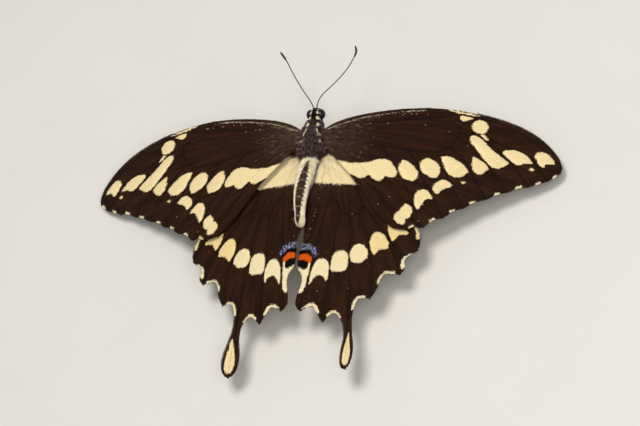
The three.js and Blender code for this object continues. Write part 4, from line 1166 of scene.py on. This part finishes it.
lie, out, longer, wider = (
    step(t, "GeometryNodeInputNamedAttribute", {"Name": name}, data_type=kind).outputs[0]
    for name, kind in (("lie", "FLOAT_VECTOR"), ("out", "FLOAT_VECTOR"), ("longer", "FLOAT"),
                       ("wider", "FLOAT")))
turn = step(t, "FunctionNodeAlignRotationToVector", {"Vector": lie}, axis="Y").outputs[0]
turn = step(t, "FunctionNodeAlignRotationToVector", {"Rotation": turn, "Vector": out},
            axis="Z", pivot_axis="Y").outputs[0]
lift = calc(t, "ADD", given["Lift"], swing(calc(t, "MULTIPLY", given["Lift"], 0.5), 1))
angles = step(t, "ShaderNodeCombineXYZ", {0: lift, 1: swing(given["Wander"], 2),
                                          2: swing(given["Wander"], 3)}).outputs[0]
bend = step(t, "FunctionNodeEulerToRotation", {0: angles}).outputs[0]
turn = step(t, "FunctionNodeRotateRotation", {0: turn, 1: bend}, rotation_space="LOCAL").outputs[0]
size = calc(t, "ADD", 1.0, swing(given["Variety"], 4))
length = calc(t, "MULTIPLY", calc(t, "MULTIPLY", given["Length"], longer), size)
width, thickness = (calc(t, "MULTIPLY", calc(t, "MULTIPLY", given[k], wider), size)
                    for k in ("Width", "Thickness"))
sizes = step(t, "ShaderNodeCombineXYZ", {0: width, 1: length, 2: thickness}).outputs[0]
shape = step(t, "GeometryNodeObjectInfo", {0: given["Tuft"]}).outputs["Geometry"]
placed = step(t, "GeometryNodeInstanceOnPoints", {
    "Points": given["Roots"], "Instance": shape, "Rotation": turn, "Scale": sizes}).outputs[0]
real = step(t, "GeometryNodeRealizeInstances", {"Geometry": placed}).outputs[0]
painted = step(t, "GeometryNodeSetMaterial", {0: real, "Material": given["Material"]}).outputs[0]
t.links.new(painted, result["Tufts"])
print("tree that lays tufts:", len(t.nodes), "nodes")

# %% Lay a coat
PATCH = 0.003                         # size of one tuft's patch on the map
draw = np.random.default_rng(7)


def run_tree(name, mesh, tree, inputs):
    """Runs a geometry tree on a mesh and returns the result as a plain mesh."""
    carrier = add_object(name, mesh)
    modifier = carrier.modifiers.new(tree.name, "NODES")
    modifier.node_group = tree
    for item in tree.interface.items_tree:
        if item.item_type == "SOCKET" and item.name in inputs:
            modifier[item.identifier] = inputs[item.name]
    carrier.update_tag()
    evaluated = carrier.evaluated_get(bpy.context.evaluated_depsgraph_get())
    made = bpy.data.meshes.new_from_object(evaluated)
    made.name = name
    carrier.modifiers.clear()
    bpy.data.objects.remove(carrier)
    bpy.data.meshes.remove(mesh)
    return made


def coat(name, slot, roots, tuft, material, size, *replaced, patch=PATCH, **settings):
    """Lays tufts on roots, a dict of points, lie, out, longer, place on the map and numbers.

    The size is a tuft's width, length and thickness in mm."""
    roots = dict(roots)
    settings |= zip(("Width", "Length", "Thickness"), (v * MM for v in size))
    points, place = roots.pop("points"), roots.pop("map")
    roots.setdefault("wider", np.ones(len(points)))
    roots["unwrap"] = np.column_stack([place, np.zeros(len(points))])
    roots["chance"] = draw.random(len(points))
    seeds = make_mesh(name, points, [], roots)
    mesh = run_tree(name, seeds, lay_tree, {"Tuft": tuft, "Material": material, **settings})
    root = fetch(mesh.attributes["unwrap"].data, "vector", 3)[points_of_corners(mesh), :2]
    flat = root + patch * fetch(mesh.attributes["patch"].data, "vector", 2)
    for label in ("patch", "unwrap", "lie", "out", "longer", "wider"):
        mesh.attributes.remove(mesh.attributes[label])
    lay_out(mesh, flat)
    show(name, mesh, slot, *replaced)
    mesh.calc_loop_triangles()
    print(name, len(points), "tufts,", len(mesh.loop_triangles), "triangles")


# %% [markdown]
# The scales of a wing stand in rows across the rays, like tiles on a roof, each row covering the
# roots of the next.  Real ones are half as large; these keep the count within reason.

# %% Scales on the wings
ROWS = {1: (0.34, 0.205), -1: (0.5, 0.3)}      # upper and lower face: row step, step along a row
SCALE_SIZE = {1: (0.26, 0.5, 0.05), -1: (0.38, 0.72, 0.05)}
SHAKEN = 0.2                                   # share of a step that a scale may stray
BARE_EDGE, NUDGE = 0.1, 0.1                    # NUDGE: how far to look along the skin for its lie


def scale_roots(wing, face):
    """Places of scales on a flat wing, in staggered and slightly shaken rows."""
    row_step, side_step = ROWS[face]
    away = wing["points"] - wing["rays_from"]
    reach, angle = np.linalg.norm(away, axis=1), np.arctan2(away[:, 1], away[:, 0])
    rows = []
    for index, r in enumerate(np.arange(reach.min(), reach.max(), row_step)):
        step_angle = side_step / r
        first = angle.min() + 0.5 * (index % 2) * step_angle
        turn = np.arange(first, angle.max(), step_angle)
        turn = turn + draw.uniform(-SHAKEN, SHAKEN, len(turn)) * step_angle
        far = r + draw.uniform(-SHAKEN, SHAKEN, len(turn)) * row_step
        rows.append(np.stack([far * np.cos(turn), far * np.sin(turn)], 1) + wing["rays_from"])
    points = np.vstack(rows)
    return points[spread_out(inside_by, points, wing["outline"]) > BARE_EDGE]


def roots_on(wing, side, points, numbers, kept, face, direction, longer=1.0):
    """Roots of tufts on a wing, that lie in a direction of the wing's plane."""
    across = direction[:, ::-1] * (1, -1)
    here = surface(wing, side, points, numbers, face)
    ahead, beside = (surface(wing, side, points + NUDGE * way, numbers, face) - here
                     for way in (direction, across))
    out = scaled(np.cross(ahead, beside))
    out *= np.sign(out[:, 2:]) * face
    return {"points": here, "lie": scaled(ahead), "out": out,
            "longer": np.broadcast_to(longer, len(points)),
            "map": flat_map(wing, points, face), **{k: numbers[k] for k in kept}}


KEPT = {1: (UPPER_NUMBERS, upper_scales), -1: (UNDER_NUMBERS, under_scales)}
for wing, kind in WINGS:
    for face, word in ((1, "upper"), (-1, "under")):
        points = scale_roots(wing, face)
        numbers = numbers_at(wing, points)
        direction = scaled(points - wing["rays_from"])
        kept, material = KEPT[face]
        for side in ("right", "left"):
            roots = roots_on(wing, side, points, numbers, kept, face, direction)
            coat(f"{kind}wing_{word}_scales_{side}", "wing_scales", roots, scale_tuft, material,
                 SCALE_SIZE[face], Lift=0.1, Wander=0.1, Seed=face + 3)

# %% [markdown]
# Along the margin the scales are long and narrow and stand out as a fringe.  Near the body the
# wings grow real hair, long and soft, which also hides where they are hinged.

# %% Fringe and hair of the wings
FRINGE_STEP, FRINGE_INSIDE, FRINGE_FROM = 0.09, 0.08, 0.4  # no fringe inward of p = 0.4
BARE_MARGIN = {"fore": (40, 0.2), "hind": (22, -8)}        # nor inward of p where above q
HAIR_REACH = {"fore": (14.0, 2600), "hind": (13.0, 2600)}  # reach from the root in mm, hairs
HAIR_FAN = (-np.pi, 0.7)              # directions from the root in which hair grows
HAIR_LENGTH, SHORTER = 1.3, 0.8       # relative length at the root, and what it loses outward
HAIR_LEAN = {"fore": 0, "hind": -0.25}                     # inward lean of the hair
PALE_HAIRS = {"fore": 0.008, "hind": 0}                    # share of pale hairs
# More hairs along the inner margin of the hindwing: how many, outward to p, and from q to q.
ALONG_BODY = {"count": 1500, "out_to": 0.8, "rear": -30, "front": -3, "stray": 0.1,
              "lengths": (0.3, 0.6)}


def fringe_roots(wing, kind):
    """Roots and directions of the fringe, just inside the free margin."""
    line = even_steps(wing["outline"], FRINGE_STEP, closed=True)
    along = np.roll(line, -1, 0) - np.roll(line, 1, 0)
    out = scaled(np.stack([along[:, 1], -along[:, 0]], 1))
    middle = wing["points"].mean(0)
    out *= np.sign(((line - middle) * out).sum(1).mean())
    p, q = BARE_MARGIN[kind]
    free = (line[:, 0] > FRINGE_FROM) & ((line[:, 1] < q) | (line[:, 0] > p))
    line, out = line[free], out[free]
    return line - FRINGE_INSIDE * out, out


def hair_roots(wing, kind):
    """Roots and lengths of hair near the base, and along the inner margin of the hindwing."""
    reach, count = HAIR_REACH[kind]
    far = reach * draw.random(6 * count) ** 0.8
    turn = draw.uniform(*HAIR_FAN, len(far))
    points = np.stack([far * np.cos(turn), far * np.sin(turn)], 1)
    inside = spread_out(inside_by, points, wing["outline"])
    points = points[inside > 0.05][:count]
    longer = HAIR_LENGTH - SHORTER * np.linalg.norm(points, axis=1) / reach
    if kind == "hind":
        p, q = wing["points"].T
        strip = (p < ALONG_BODY["out_to"]) & (q > ALONG_BODY["rear"]) & (q < ALONG_BODY["front"])
        inner = wing["points"][strip]
        inner = inner[draw.integers(0, len(inner), ALONG_BODY["count"])]
        stray = draw.uniform(-ALONG_BODY["stray"], ALONG_BODY["stray"], inner.shape)
        points = np.vstack([points, inner + stray])
        longer = np.r_[longer, draw.uniform(*ALONG_BODY["lengths"], len(inner))]
    return points, longer


for wing, kind in WINGS:
    edge_points, edge_out = fringe_roots(wing, kind)
    hair_points, longer = hair_roots(wing, kind)
    edge_numbers, hair_numbers = numbers_at(wing, edge_points), numbers_at(wing, hair_points)
    hair_numbers["tint"] = 0 * hair_numbers["tint"]
    hair_numbers["haze"] = 2 * hair_numbers["haze"]
    hair_numbers["strewn"] = hair_numbers["strewn"] + PALE_HAIRS[kind]
    lie = scaled(scaled(hair_points - wing["rays_from"]) + (HAIR_LEAN[kind], 0))
    for side in ("right", "left"):
        roots = roots_on(wing, side, edge_points, edge_numbers, UPPER_NUMBERS, 1, edge_out)
        coat(f"{kind}wing_fringe_{side}", "wing_scales", roots, scale_tuft, upper_scales,
             (0.12, 0.46, 0.05), Lift=0.05, Wander=0.16, Seed=9)
        roots = roots_on(wing, side, hair_points, hair_numbers, UPPER_NUMBERS, 1, lie, longer)
        coat(f"{kind}wing_hair_{side}", "wing_scales", roots, hair_tuft, upper_scales,
             (0.06, 1.7, 0.05), Lift=0.07, Wander=0.2, Seed=11)

# %% [markdown]
# The body's hair grows row by row over the skin and points back towards the tail.  It stands up on
# the head and thorax, spreads outward over the hinges of the wings, and lies flat as scales on the
# abdomen.

# %% Fur of the body
RING_INDEX = np.arange(len(body_rings))
LOOK_ALONG, LOOK_ROUND = 0.3, 0.03    # how far to look along and round the skin for its lie
FUR_LENGTHS = (0.75, 1.15)
FUR = [
    # name, slot, tuft, front, rear, spacing, rise and angles from the top in degrees, width, length
    ("head_fur", "body_fur", hair_tuft, 7.8, 4.5, 0.085, 42, (0, 180), 0.055, 0.42),
    ("thorax_fur", "body_fur", hair_tuft, 4.5, -7.2, 0.12, 24, (0, 180), 0.065, 0.95),
    ("collar_fur", "body_fur", hair_tuft, 5.1, 3.2, 0.13, 46, (0, 140), 0.065, 0.85),
    ("hinge_fur", "body_fur", hair_tuft, -0.5, -6.7, 0.2, 58, (58, 100), 0.08, 2.3),
    ("flank_fur", "body_fur", hair_tuft, 2.2, -6.9, 0.17, 48, (50, 122), 0.07, 1.15),
    ("waist_fur", "abdomen_fur", hair_tuft, -5.6, -10.5, 0.16, 16, (0, 180), 0.07, 1.5),
    ("side_fur", "abdomen_fur", hair_tuft, -6.8, -14.5, 0.2, 36, (66, 112), 0.065, 1.3),
    ("abdomen_scales", "abdomen_fur", scale_tuft, -7.0, -26.5, 0.16, 9, (0, 180), 0.24, 0.46),
    ("tail_fur", "abdomen_fur", hair_tuft, -24.4, -26.6, 0.09, 24, (0, 180), 0.05, 0.65),
]


def ring_at(index):
    """The body's ring at any place between two rings."""
    return np.stack([np.interp(index, RING_INDEX, column) for column in body_rings.T], -1)


def turned(directions):
    """Directions of the body's frame as directions in the world."""
    return (to_world(directions) - to_world((0, 0, 0))) / MM


def body_roots(front, rear, spacing, rise, span):
    """Roots of hair on the skin between two places along the body, in staggered rows."""
    order = body_rings[::-1, 0]
    first, last = (np.interp(y, order, RING_INDEX[::-1]) for y in (front, rear))
    rings, angles = [], []
    for index in np.arange(first, last, spacing / RING_STEP):
        ring = ring_at(index)
        count = max(int(np.pi * (ring[1] + ring[2]) / spacing), 6)
        turn = (np.arange(count) + draw.uniform(0, 1, count)) * 2 * np.pi / count
        near = np.degrees(abs((turn + np.pi) % (2 * np.pi) - np.pi))
        turn = turn[(near >= span[0]) & (near <= span[1])]
        rings += [index + draw.uniform(-0.5, 0.5) * spacing / RING_STEP] * len(turn)
        angles.append(turn)
    index, angle = np.clip(rings, 0, RING_INDEX[-1]), np.concatenate(angles)
    ring = ring_at(index)
    here = skin_at(ring, angle)
    behind, before = (skin_at(ring_at(index + way), angle) for way in (LOOK_ALONG, -LOOK_ALONG))
    back = scaled(behind - before)
    beside = skin_at(ring, angle + LOOK_ROUND) - here
    out = scaled(np.cross(back, beside))
    middle = ring[:, [0, 0, 4]] * (0, 1, 1)
    out *= np.sign((out * (here - middle)).sum(1))[:, None]
    rise = math.radians(rise)
    lie = math.cos(rise) * back + math.sin(rise) * out
    flat = np.stack([index / RING_INDEX[-1], ((angle - np.pi) / (2 * np.pi)) % 1], 1)
    return here, {"points": to_world(here), "lie": turned(lie), "out": turned(out),
                  "longer": draw.uniform(*FUR_LENGTHS, len(here)), "map": flat}


for name, slot, kind, *where, width, length in FUR:
    here, roots = body_roots(*where)
    coat(name, slot, roots | body_numbers(here), kind, fur_material, (width, length, 0.06),
         Lift=0.06, Wander=0.22, Variety=0.2, Seed=5)

# %% [markdown]
# An insect's eye is a dome of many six-sided facets, dark and glossy.  The dome is a smooth half
# egg; the facets are far too small for the mesh, so a Voronoi pattern raises them as bumps.

# %% Eyes
SIDES = (("right", 1), ("left", -1))
EYE = {"centre": (1.35, 6.2, -1.0), "radius": 1.42, "depth": 1.24, "rings": 26, "around": 48}
FACETS = 11000                        # for each metre
eye_material, tree, shader = new_material("faceted eye", 0.22, **{
    "Specular IOR Level": 0.3, "Coat Weight": 0.12, "Coat Roughness": 0.1})
where = own_place(tree)
facets = step(tree, "ShaderNodeTexVoronoi", {"Vector": where, "Scale": FACETS, "Randomness": 0.25})
cloud = noise(tree, where, 700, 2)
tone = blend(tree, fade(tree, cloud, 0.4, 0.65), colour(14, 9, 8), colour(36, 27, 30))
tone = blend(tree, fade(tree, facets.outputs["Distance"], 0.3, 0.6, 0, 0.5), tone, colour(8, 6, 6))
dome = calc(tree, "SUBTRACT", 1.0, facets.outputs["Distance"])
feed(shader, {"Base Color": tone, "Normal": bumped(tree, dome, 0.00002, 0.35)})
lean = np.linspace(0, 0.49 * np.pi, EYE["rings"])
angle = circle(EYE["around"])
reach = EYE["radius"] * np.cos(lean)[:, None]
x = np.broadcast_to(EYE["depth"] * np.sin(lean)[:, None], (len(lean), len(angle)))
dome_rings = np.stack([x, reach * np.cos(angle), reach * np.sin(angle)], -1) + EYE["centre"]
for side, mirror in SIDES:
    points, faces, flat = loft(dome_rings * (mirror, 1, 1))
    show_skin(f"faceted_eye_{side}", "eye", (to_world(points), faces, flat), eye_material,
              f"eye_{side}")
    print("eye", side, len(faces), "faces")

# %% [markdown]
# The hard parts, such as feelers, legs and tongue, are dark chitin with a dull gloss and a dust of
# pale scales.  One material serves them, with a paler line where two segments meet.

# %% Chitin
chitin_group, given, result = new_group(
    "Dusted chitin", "ShaderNodeTree", {}, {"Along": 0.5, "Dust": 0.3},
    {"Colour": COLOUR, "Roughness": VALUE, "Height": VALUE})
t = chitin_group
where = own_place(t)
grain, blotch = noise(t, where, 6000, 3), noise(t, where, 1500, 2)
shade = blend(t, fade(t, blotch, 0.35, 0.65), colour(15, 9, 7), colour(34, 22, 17))
dusty = calc(t, "MULTIPLY", fade(t, grain, 0.52, 0.62), given["Dust"])
shade = blend(t, dusty, shade, colour(150, 132, 104))
near_joint = calc(t, "ABSOLUTE", calc(t, "SUBTRACT", given["Along"], 0.5))
shade = blend(t, fade(t, near_joint, 0.4, 0.5, 0, 0.5), shade, colour(108, 84, 62))
t.links.new(shade, result["Colour"])
t.links.new(fade(t, grain, 0.3, 0.7, 0.32, 0.55), result["Roughness"])
t.links.new(grain, result["Height"])


def chitin_material(name, dust):
    """Dark chitin with more or less dust of pale scales."""
    material, tree, shader = new_material(name, 0.45, **{"Specular IOR Level": 0.25})
    inputs = {"Dust": dust, **read_all(tree, ("along",))}
    made = step(tree, "ShaderNodeGroup", inputs, node_tree=chitin_group).outputs
    feed(shader, {"Base Color": made["Colour"], "Roughness": made["Roughness"],
                  "Normal": bumped(tree, made["Height"], 0.00001, 0.6)})
    return material


feeler_chitin = chitin_material("feeler chitin", 0.1)
leg_chitin = chitin_material("leg chitin", 0.6)
print("chitin:", len(chitin_group.nodes), "nodes")

# %% [markdown]
# A feeler is a string of small barrels, wider towards its club.  Each barrel is one tuft of the
# same node tree that lays the hair: its root's numbers say how long and how wide it is.

# %% Feelers
BARREL_PROFILE = [(0, 0.36), (0.12, 0.45), (0.5, 0.42), (0.85, 0.5), (1.04, 0.4)]
BARREL_SIDES = 10
FEELERS = {
    "right": [(0.42, 7.0, -0.45), (0.52, 7.9, 0.12), (0.85, 9.5, 0.35), (1.9, 11.1, 0.6),
              (4.0, 12.95, 0.95), (6.65, 15.4, 1.4), (8.75, 17.9, 1.8), (10.0, 20.1, 2.1),
              (10.8, 22.2, 2.35), (10.45, 23.7, 2.5)],
    "left": [(-0.42, 7.0, -0.45), (-0.55, 7.9, 0.12), (-1.25, 9.3, 0.35), (-2.85, 11.5, 0.7),
             (-5.0, 14.6, 1.2), (-7.2, 18.2, 1.7), (-8.85, 21.1, 2.15), (-10.7, 23.6, 2.5)],
}
FEELER = {"segment": 0.4, "shaft": 0.3, "club": 0.66, "club_from": 0.83, "club_full": 0.92,
          "tip": 0.45, "base": 0.2, "base_until": 0.06, "overlap": 1.05}
MAP_COLUMNS = 8                       # the barrels' patches stand in a square of 8 by 8
barrel = tuft("barrel", *loft([[(r * np.cos(a), y, r * np.sin(a)) for a in circle(BARREL_SIDES)]
                               for y, r in BARREL_PROFILE]))
for side, path in FEELERS.items():
    curve = even_steps(smooth_curve(path), FEELER["segment"])
    share = np.linspace(0, 1, len(curve) - 1)
    club = smoothstep(FEELER["club_from"], FEELER["club_full"], share)
    club = club * (1 - FEELER["tip"] * share**40)
    wide = FEELER["shaft"] + (FEELER["club"] - FEELER["shaft"]) * club
    wide = wide + FEELER["base"] * (1 - smoothstep(0, FEELER["base_until"], share))
    lie = np.diff(to_world(curve), axis=0) / MM
    spots = np.arange(len(share))
    spots = np.stack([spots % MAP_COLUMNS, spots // MAP_COLUMNS], 1)
    roots = {"points": to_world(curve[:-1]), "lie": scaled(lie),
             "out": np.tile((0.0, 0, 1), (len(share), 1)), "wider": wide,
             "longer": np.linalg.norm(lie, axis=1) * FEELER["overlap"],
             "map": spots / MAP_COLUMNS + MAP_GAP}
    coat(f"ringed_feeler_{side}", "horn", roots, barrel, feeler_chitin, (1, 1, 1),
         f"antenna_{side}", patch=0.1, Lift=0.0, Wander=0.0, Variety=0.0, Seed=1)

# %% [markdown]
# The tongue is a thin tube that rolls up under the face like a watch spring; a fine ringing runs
# along it.  The palps are two short furry feelers in front of the face.

# %% Tongue and palps
TONGUE = {"start": (0, 6.4, -3.1), "centre": (7.25, -4.6), "outer": 1.2, "pitch": 0.64,
          "turns": 1.4, "from": 0.86, "radius": 0.2, "step": 0.07, "thinner": 0.35,
          "ringing": 0.07, "points": 24}
PALP = {"low": (0.8, 6.7, -3.2), "middle": (0.78, 7.7, -2.85), "high": (0.68, 8.45, -2.1)}
PALP_RADII = [(0, 0.2), (0.3, 0.3), (0.75, 0.27), (1, 0.1)]
PALP_SKIN, PALE_BEYOND = 0.24, 0.72   # where its hair is rooted; how far out the hair turns pale
PALE_SOFT = 0.25
PALP_STEP, PALP_SPACING, PALP_SPREAD = 0.08, 0.09, 0.5

turn = np.linspace(0, TONGUE["turns"], TONGUE["points"])
angle, reach = np.pi * (TONGUE["from"] + 2 * turn), TONGUE["outer"] - TONGUE["pitch"] * turn
coil = np.stack([0 * turn, TONGUE["centre"][0] + reach * np.cos(angle),
                 TONGUE["centre"][1] + reach * np.sin(angle)], 1)
coil = even_steps(smooth_curve(np.vstack([[TONGUE["start"]], coil])), TONGUE["step"])
thin = TONGUE["radius"] * (1 - TONGUE["thinner"] * np.linspace(0, 1, len(coil)))
thin = thin * (1 - TONGUE["ringing"] * (np.arange(len(coil)) % 2))
points, faces, flat = limb(coil, thin)
show_skin("coiled_tongue", "horn", (to_world(points), faces, flat), feeler_chitin, "proboscis",
          numbers={"along": np.full(len(points), 0.5)})


def limb_roots(path, radius, spacing, spread):
    """Roots of hair round a limb, pointing along it and out of it."""
    path = even_steps(np.asarray(path, float), spacing)
    ahead = scaled(np.gradient(path, axis=0))
    count = np.maximum((2 * np.pi * radius / spacing), 3).astype(int)
    index = np.repeat(np.arange(len(path)), count)
    angle = draw.uniform(0, 2 * np.pi, len(index))[:, None]
    side = scaled(np.cross(ahead[index], SIDEWAYS))
    out = np.cos(angle) * side + np.sin(angle) * np.cross(side, ahead[index])
    return {"points": path[index] + radius * out, "out": out,
            "lie": scaled(ahead[index] + spread * out),
            "longer": draw.uniform(0.7, 1.1, len(index)),
            "map": np.stack([index / len(path), angle[:, 0] / (2 * np.pi)], 1)}


def palp_numbers(points, cream):
    """The named numbers of a palp, which is all in front and has no seams."""
    return {"cream": cream, "seam": np.ones(len(points)), "rear": np.zeros(len(points))}


for side, mirror in SIDES:
    line = drawn([np.array(p) * (mirror, 1, 1) for p in PALP.values()], pace=PALP_STEP)
    thick = np.interp(np.linspace(0, 1, len(line)), *zip(*PALP_RADII))
    points, faces, flat = limb(line, thick)
    show_skin(f"palp_core_{side}", "body_fur", (to_world(points), faces, flat), skin_material,
              f"palp_{side}", numbers=palp_numbers(points, np.ones(len(points))))
    roots = limb_roots(line, PALP_SKIN, PALP_SPACING, PALP_SPREAD)
    here = roots["points"]
    pale = smoothstep(-PALE_SOFT, PALE_SOFT, abs(here[:, 0]) - PALE_BEYOND) * 2 - 1
    roots |= {"points": to_world(here), **palp_numbers(here, pale)}
    coat(f"palp_fur_{side}", "body_fur", roots, hair_tuft, fur_material, (0.05, 0.42, 0.05),
         Lift=0.1, Wander=0.3, Variety=0.2, Seed=21)

# %% [markdown]
# A leg has a short hip, a thigh, a shin with two spurs, and a foot of five small segments that
# ends in a pair of claws.  Each is a limb of its own, thicker in the middle or at its end, and the
# joints show where they meet.  Short bristles point down the leg.

# %% Legs
LEGS = {
    "front": [(1.25, 2.3), (6.2, 2.0, 10.8), (8.2, 5.2, 3.5), (8.9, 6.4, 0.22), (9.8, 8.6, 0.22)],
    "middle": [(1.25, -0.7), (7.0, -1.6, 11.4), (11.2, -2.8, 3.4), (12.9, -3.4, 0.22),
               (15.9, -4.4, 0.22)],
    "hind": [(1.25, -3.7), (5.6, -9.8, 9.6), (8.6, -17.4, 3.4), (9.6, -20.6, 0.22),
             (11.0, -24.4, 0.22)],
}
HIP_HEIGHT, HIP_STEP = -3.5, (0.5, 0, -1.6)
THIGH = [(0, 0.3), (0.15, 0.42), (0.5, 0.44), (0.85, 0.38), (1, 0.24)]
SHIN = [(0, 0.22), (0.08, 0.32), (0.5, 0.3), (0.9, 0.33), (1, 0.2)]
FOOT_PART = [(0, 0.13), (0.15, 0.19), (0.7, 0.2), (0.93, 0.235), (1, 0.15)]
HIP = [(0, 0.42), (0.5, 0.52), (1, 0.36)]
CLAW = [(0, 0.09), (0.5, 0.06), (1, 0.02)]
FOOT_SHARES = (0, 0.36, 0.57, 0.78, 1)
CLAW_REACH, CLAW_APART, CLAW_BOW = 0.42, 0.2, (0, 0, 0.06)
SPUR_REACH, SPUR_APART = 0.9, 0.35
BRISTLE_RADII = (0.34, 0.27, 0.17, 0.17)         # where bristles are rooted, from thigh to foot
BRISTLE_SPACING, BRISTLE_SPREAD, BRISTLES_ABOVE = 0.16, 0.45, 0.3
LEG_PARTS, LEG_RINGS, LEG_AROUND, LEG_TILE = 14, 13, 12, 0.9


def leg_part(index, a, b, profile, bow=(0, 0, 0)):
    """A limb from a to b with a profile of (share, radius), and each point's share of its length.

    The bow bends its middle, and the index is its place on the map."""
    share = np.linspace(0, 1, LEG_RINGS)[:, None]
    line = a + (b - a) * share + np.array(bow) * 4 * share * (1 - share)
    curve = smooth_curve(profile)
    radii = np.interp(share[:, 0], curve[:, 0], curve[:, 1])
    tile = (0, index / LEG_PARTS, 1, LEG_TILE / LEG_PARTS)
    return limb(line, radii, LEG_AROUND, tile), np.append(np.repeat(share, LEG_AROUND), (0, 1))


for name, (hip, *joints) in LEGS.items():
    for side, mirror in SIDES:
        flip = np.array((mirror, 1, 1))
        top = np.array((hip[0], hip[1], HIP_HEIGHT)) * flip
        low = to_world(top + np.array(HIP_STEP) * flip) / MM
        knee, ankle, heel, toe = (np.array(j) * flip + (0, BODY_FORWARD, 0) for j in joints)
        bones = [(to_world(top) / MM, low, HIP), (low, knee, THIGH), (knee, ankle, SHIN),
                 (ankle, heel, FOOT_PART)]
        foot = [heel + (toe - heel) * share for share in FOOT_SHARES]
        bones += [(start, end, FOOT_PART) for start, end in zip(foot, foot[1:])]
        forward = scaled(toe - heel)
        beside = np.cross(forward, (0, 0, 1))
        for way in (-1, 1):
            tip = toe + CLAW_REACH * forward + way * CLAW_APART * beside
            spur = ankle + SPUR_REACH * scaled(heel - ankle) + way * SPUR_APART * beside
            bones += [(toe, tip, CLAW, CLAW_BOW), (ankle, spur, CLAW)]
        parts, along = zip(*(leg_part(index, *bone) for index, bone in enumerate(bones)))
        points, faces, flat = joined(parts)
        points[:, 2] = np.maximum(points[:, 2], 0)
        show_skin(f"jointed_leg_{name}_{side}", "horn", (points * MM, faces, flat), leg_chitin,
                  f"leg_{name}_{side}", numbers={"along": np.concatenate(along)})
        line = (low, knee, ankle, heel, toe)
        bristles = [limb_roots([a, b], radius, BRISTLE_SPACING, BRISTLE_SPREAD)
                    for a, b, radius in zip(line, line[1:], BRISTLE_RADII)]
        roots = {k: np.concatenate([b[k] for b in bristles]) for k in bristles[0]}
        above = roots["points"][:, 2] > BRISTLES_ABOVE
        roots = {k: v[above] for k, v in roots.items()} | {"along": np.full(above.sum(), 0.5)}
        roots["points"] = roots["points"] * MM
        coat(f"leg_bristles_{name}_{side}", "horn", roots, hair_tuft, leg_chitin,
             (0.035, 0.3, 0.035), Lift=0.1, Wander=0.2, Variety=0.2, Seed=31)

# %% [markdown]
# The animal stands on a plain pale floor, in soft studio light: a large lamp straight above draws
# the veins and the hair, a wider and weaker one near the camera fills the shadows, and a pale sky
# does the rest.

# %% Floor and light
FLOOR_HALF = 1.4
SKY = {"Color": (0.93, 0.95, 1.0, 1), "Strength": 0.42}
corners = FLOOR_HALF * np.array([(-1, -1, 0), (1, -1, 0), (1, 1, 0), (-1, 1, 0)])
floor_mesh = make_mesh("floor", corners, [(0, 1, 2, 3)], smooth=False)
floor = add_object("floor", floor_mesh)
floor_material, tree, shader = new_material("pale matt floor", 0.8)
where = own_place(tree)
tone = blend(tree, noise(tree, where, 30, 3), colour(186, 184, 180), colour(192, 190, 187))
feed(shader, {"Base Color": tone})
floor_mesh.materials.append(floor_material)

world = bpy.data.worlds.new("soft studio")
bpy.context.scene.world = world
world.use_nodes = True
feed(world.node_tree.nodes["Background"], SKY)


def lamp(name, place, size, power, tone):
    """A round soft lamp that looks at the animal."""
    light = bpy.data.lights.new(name, "AREA")
    light.shape, light.size, light.energy, light.color = "DISK", size, power, tone
    holder = add_object(name, light)
    holder.location = place
    holder.rotation_euler = (-Vector(place)).to_track_quat("-Z", "Y").to_euler()


lamp("key lamp", (0.02, 0.02, 0.79), 0.3, 5.35, (1.0, 0.96, 0.89))
lamp("fill lamp", (0.35, -0.3, 0.62), 0.5, 2.7, (1.0, 0.97, 0.92))
bpy.context.scene.view_settings.view_transform = "Standard"
print("lights:", len(bpy.data.lights))

# %% [markdown]
# The camera looks down over the animal's right rear quarter with a long lens.  Its place is given
# by the point that it looks at, its distance, and its turn, height and roll.

# %% Camera
LOOK = {"at": (0.004796, -0.001927, 0.013), "distance": 0.67248, "turn": 38.385,
        "height": 54.361, "roll": -35.915, "lens": 147.15, "sensor": 36}


def camera_axes(turn, height, roll):
    """The directions right, up and back of a camera, as world vectors."""
    turn, height, roll = (math.radians(v) for v in (turn, height, roll))
    back = Vector((math.sin(turn) * math.cos(height), -math.cos(turn) * math.cos(height),
                   math.sin(height)))
    level = Vector((-back.y, back.x, 0)).normalized()
    right = math.cos(roll) * level + math.sin(roll) * back.cross(level)
    return right, back.cross(right), back


right, up, back = camera_axes(LOOK["turn"], LOOK["height"], LOOK["roll"])
lens = bpy.data.cameras.new("camera")
lens.lens, lens.sensor_width = LOOK["lens"], LOOK["sensor"]
lens.clip_start, lens.clip_end = 0.01, 10
camera = add_object("camera", lens)
camera.location = Vector(LOOK["at"]) + LOOK["distance"] * back
camera.rotation_euler = Matrix((right, up, back)).transposed().to_euler()
bpy.context.scene.camera = camera
print("camera at", [round(v, 3) for v in camera.location])

# %% [markdown]
# Last, the scene is brought up to date.

# %% Finish
bpy.context.view_layer.update()
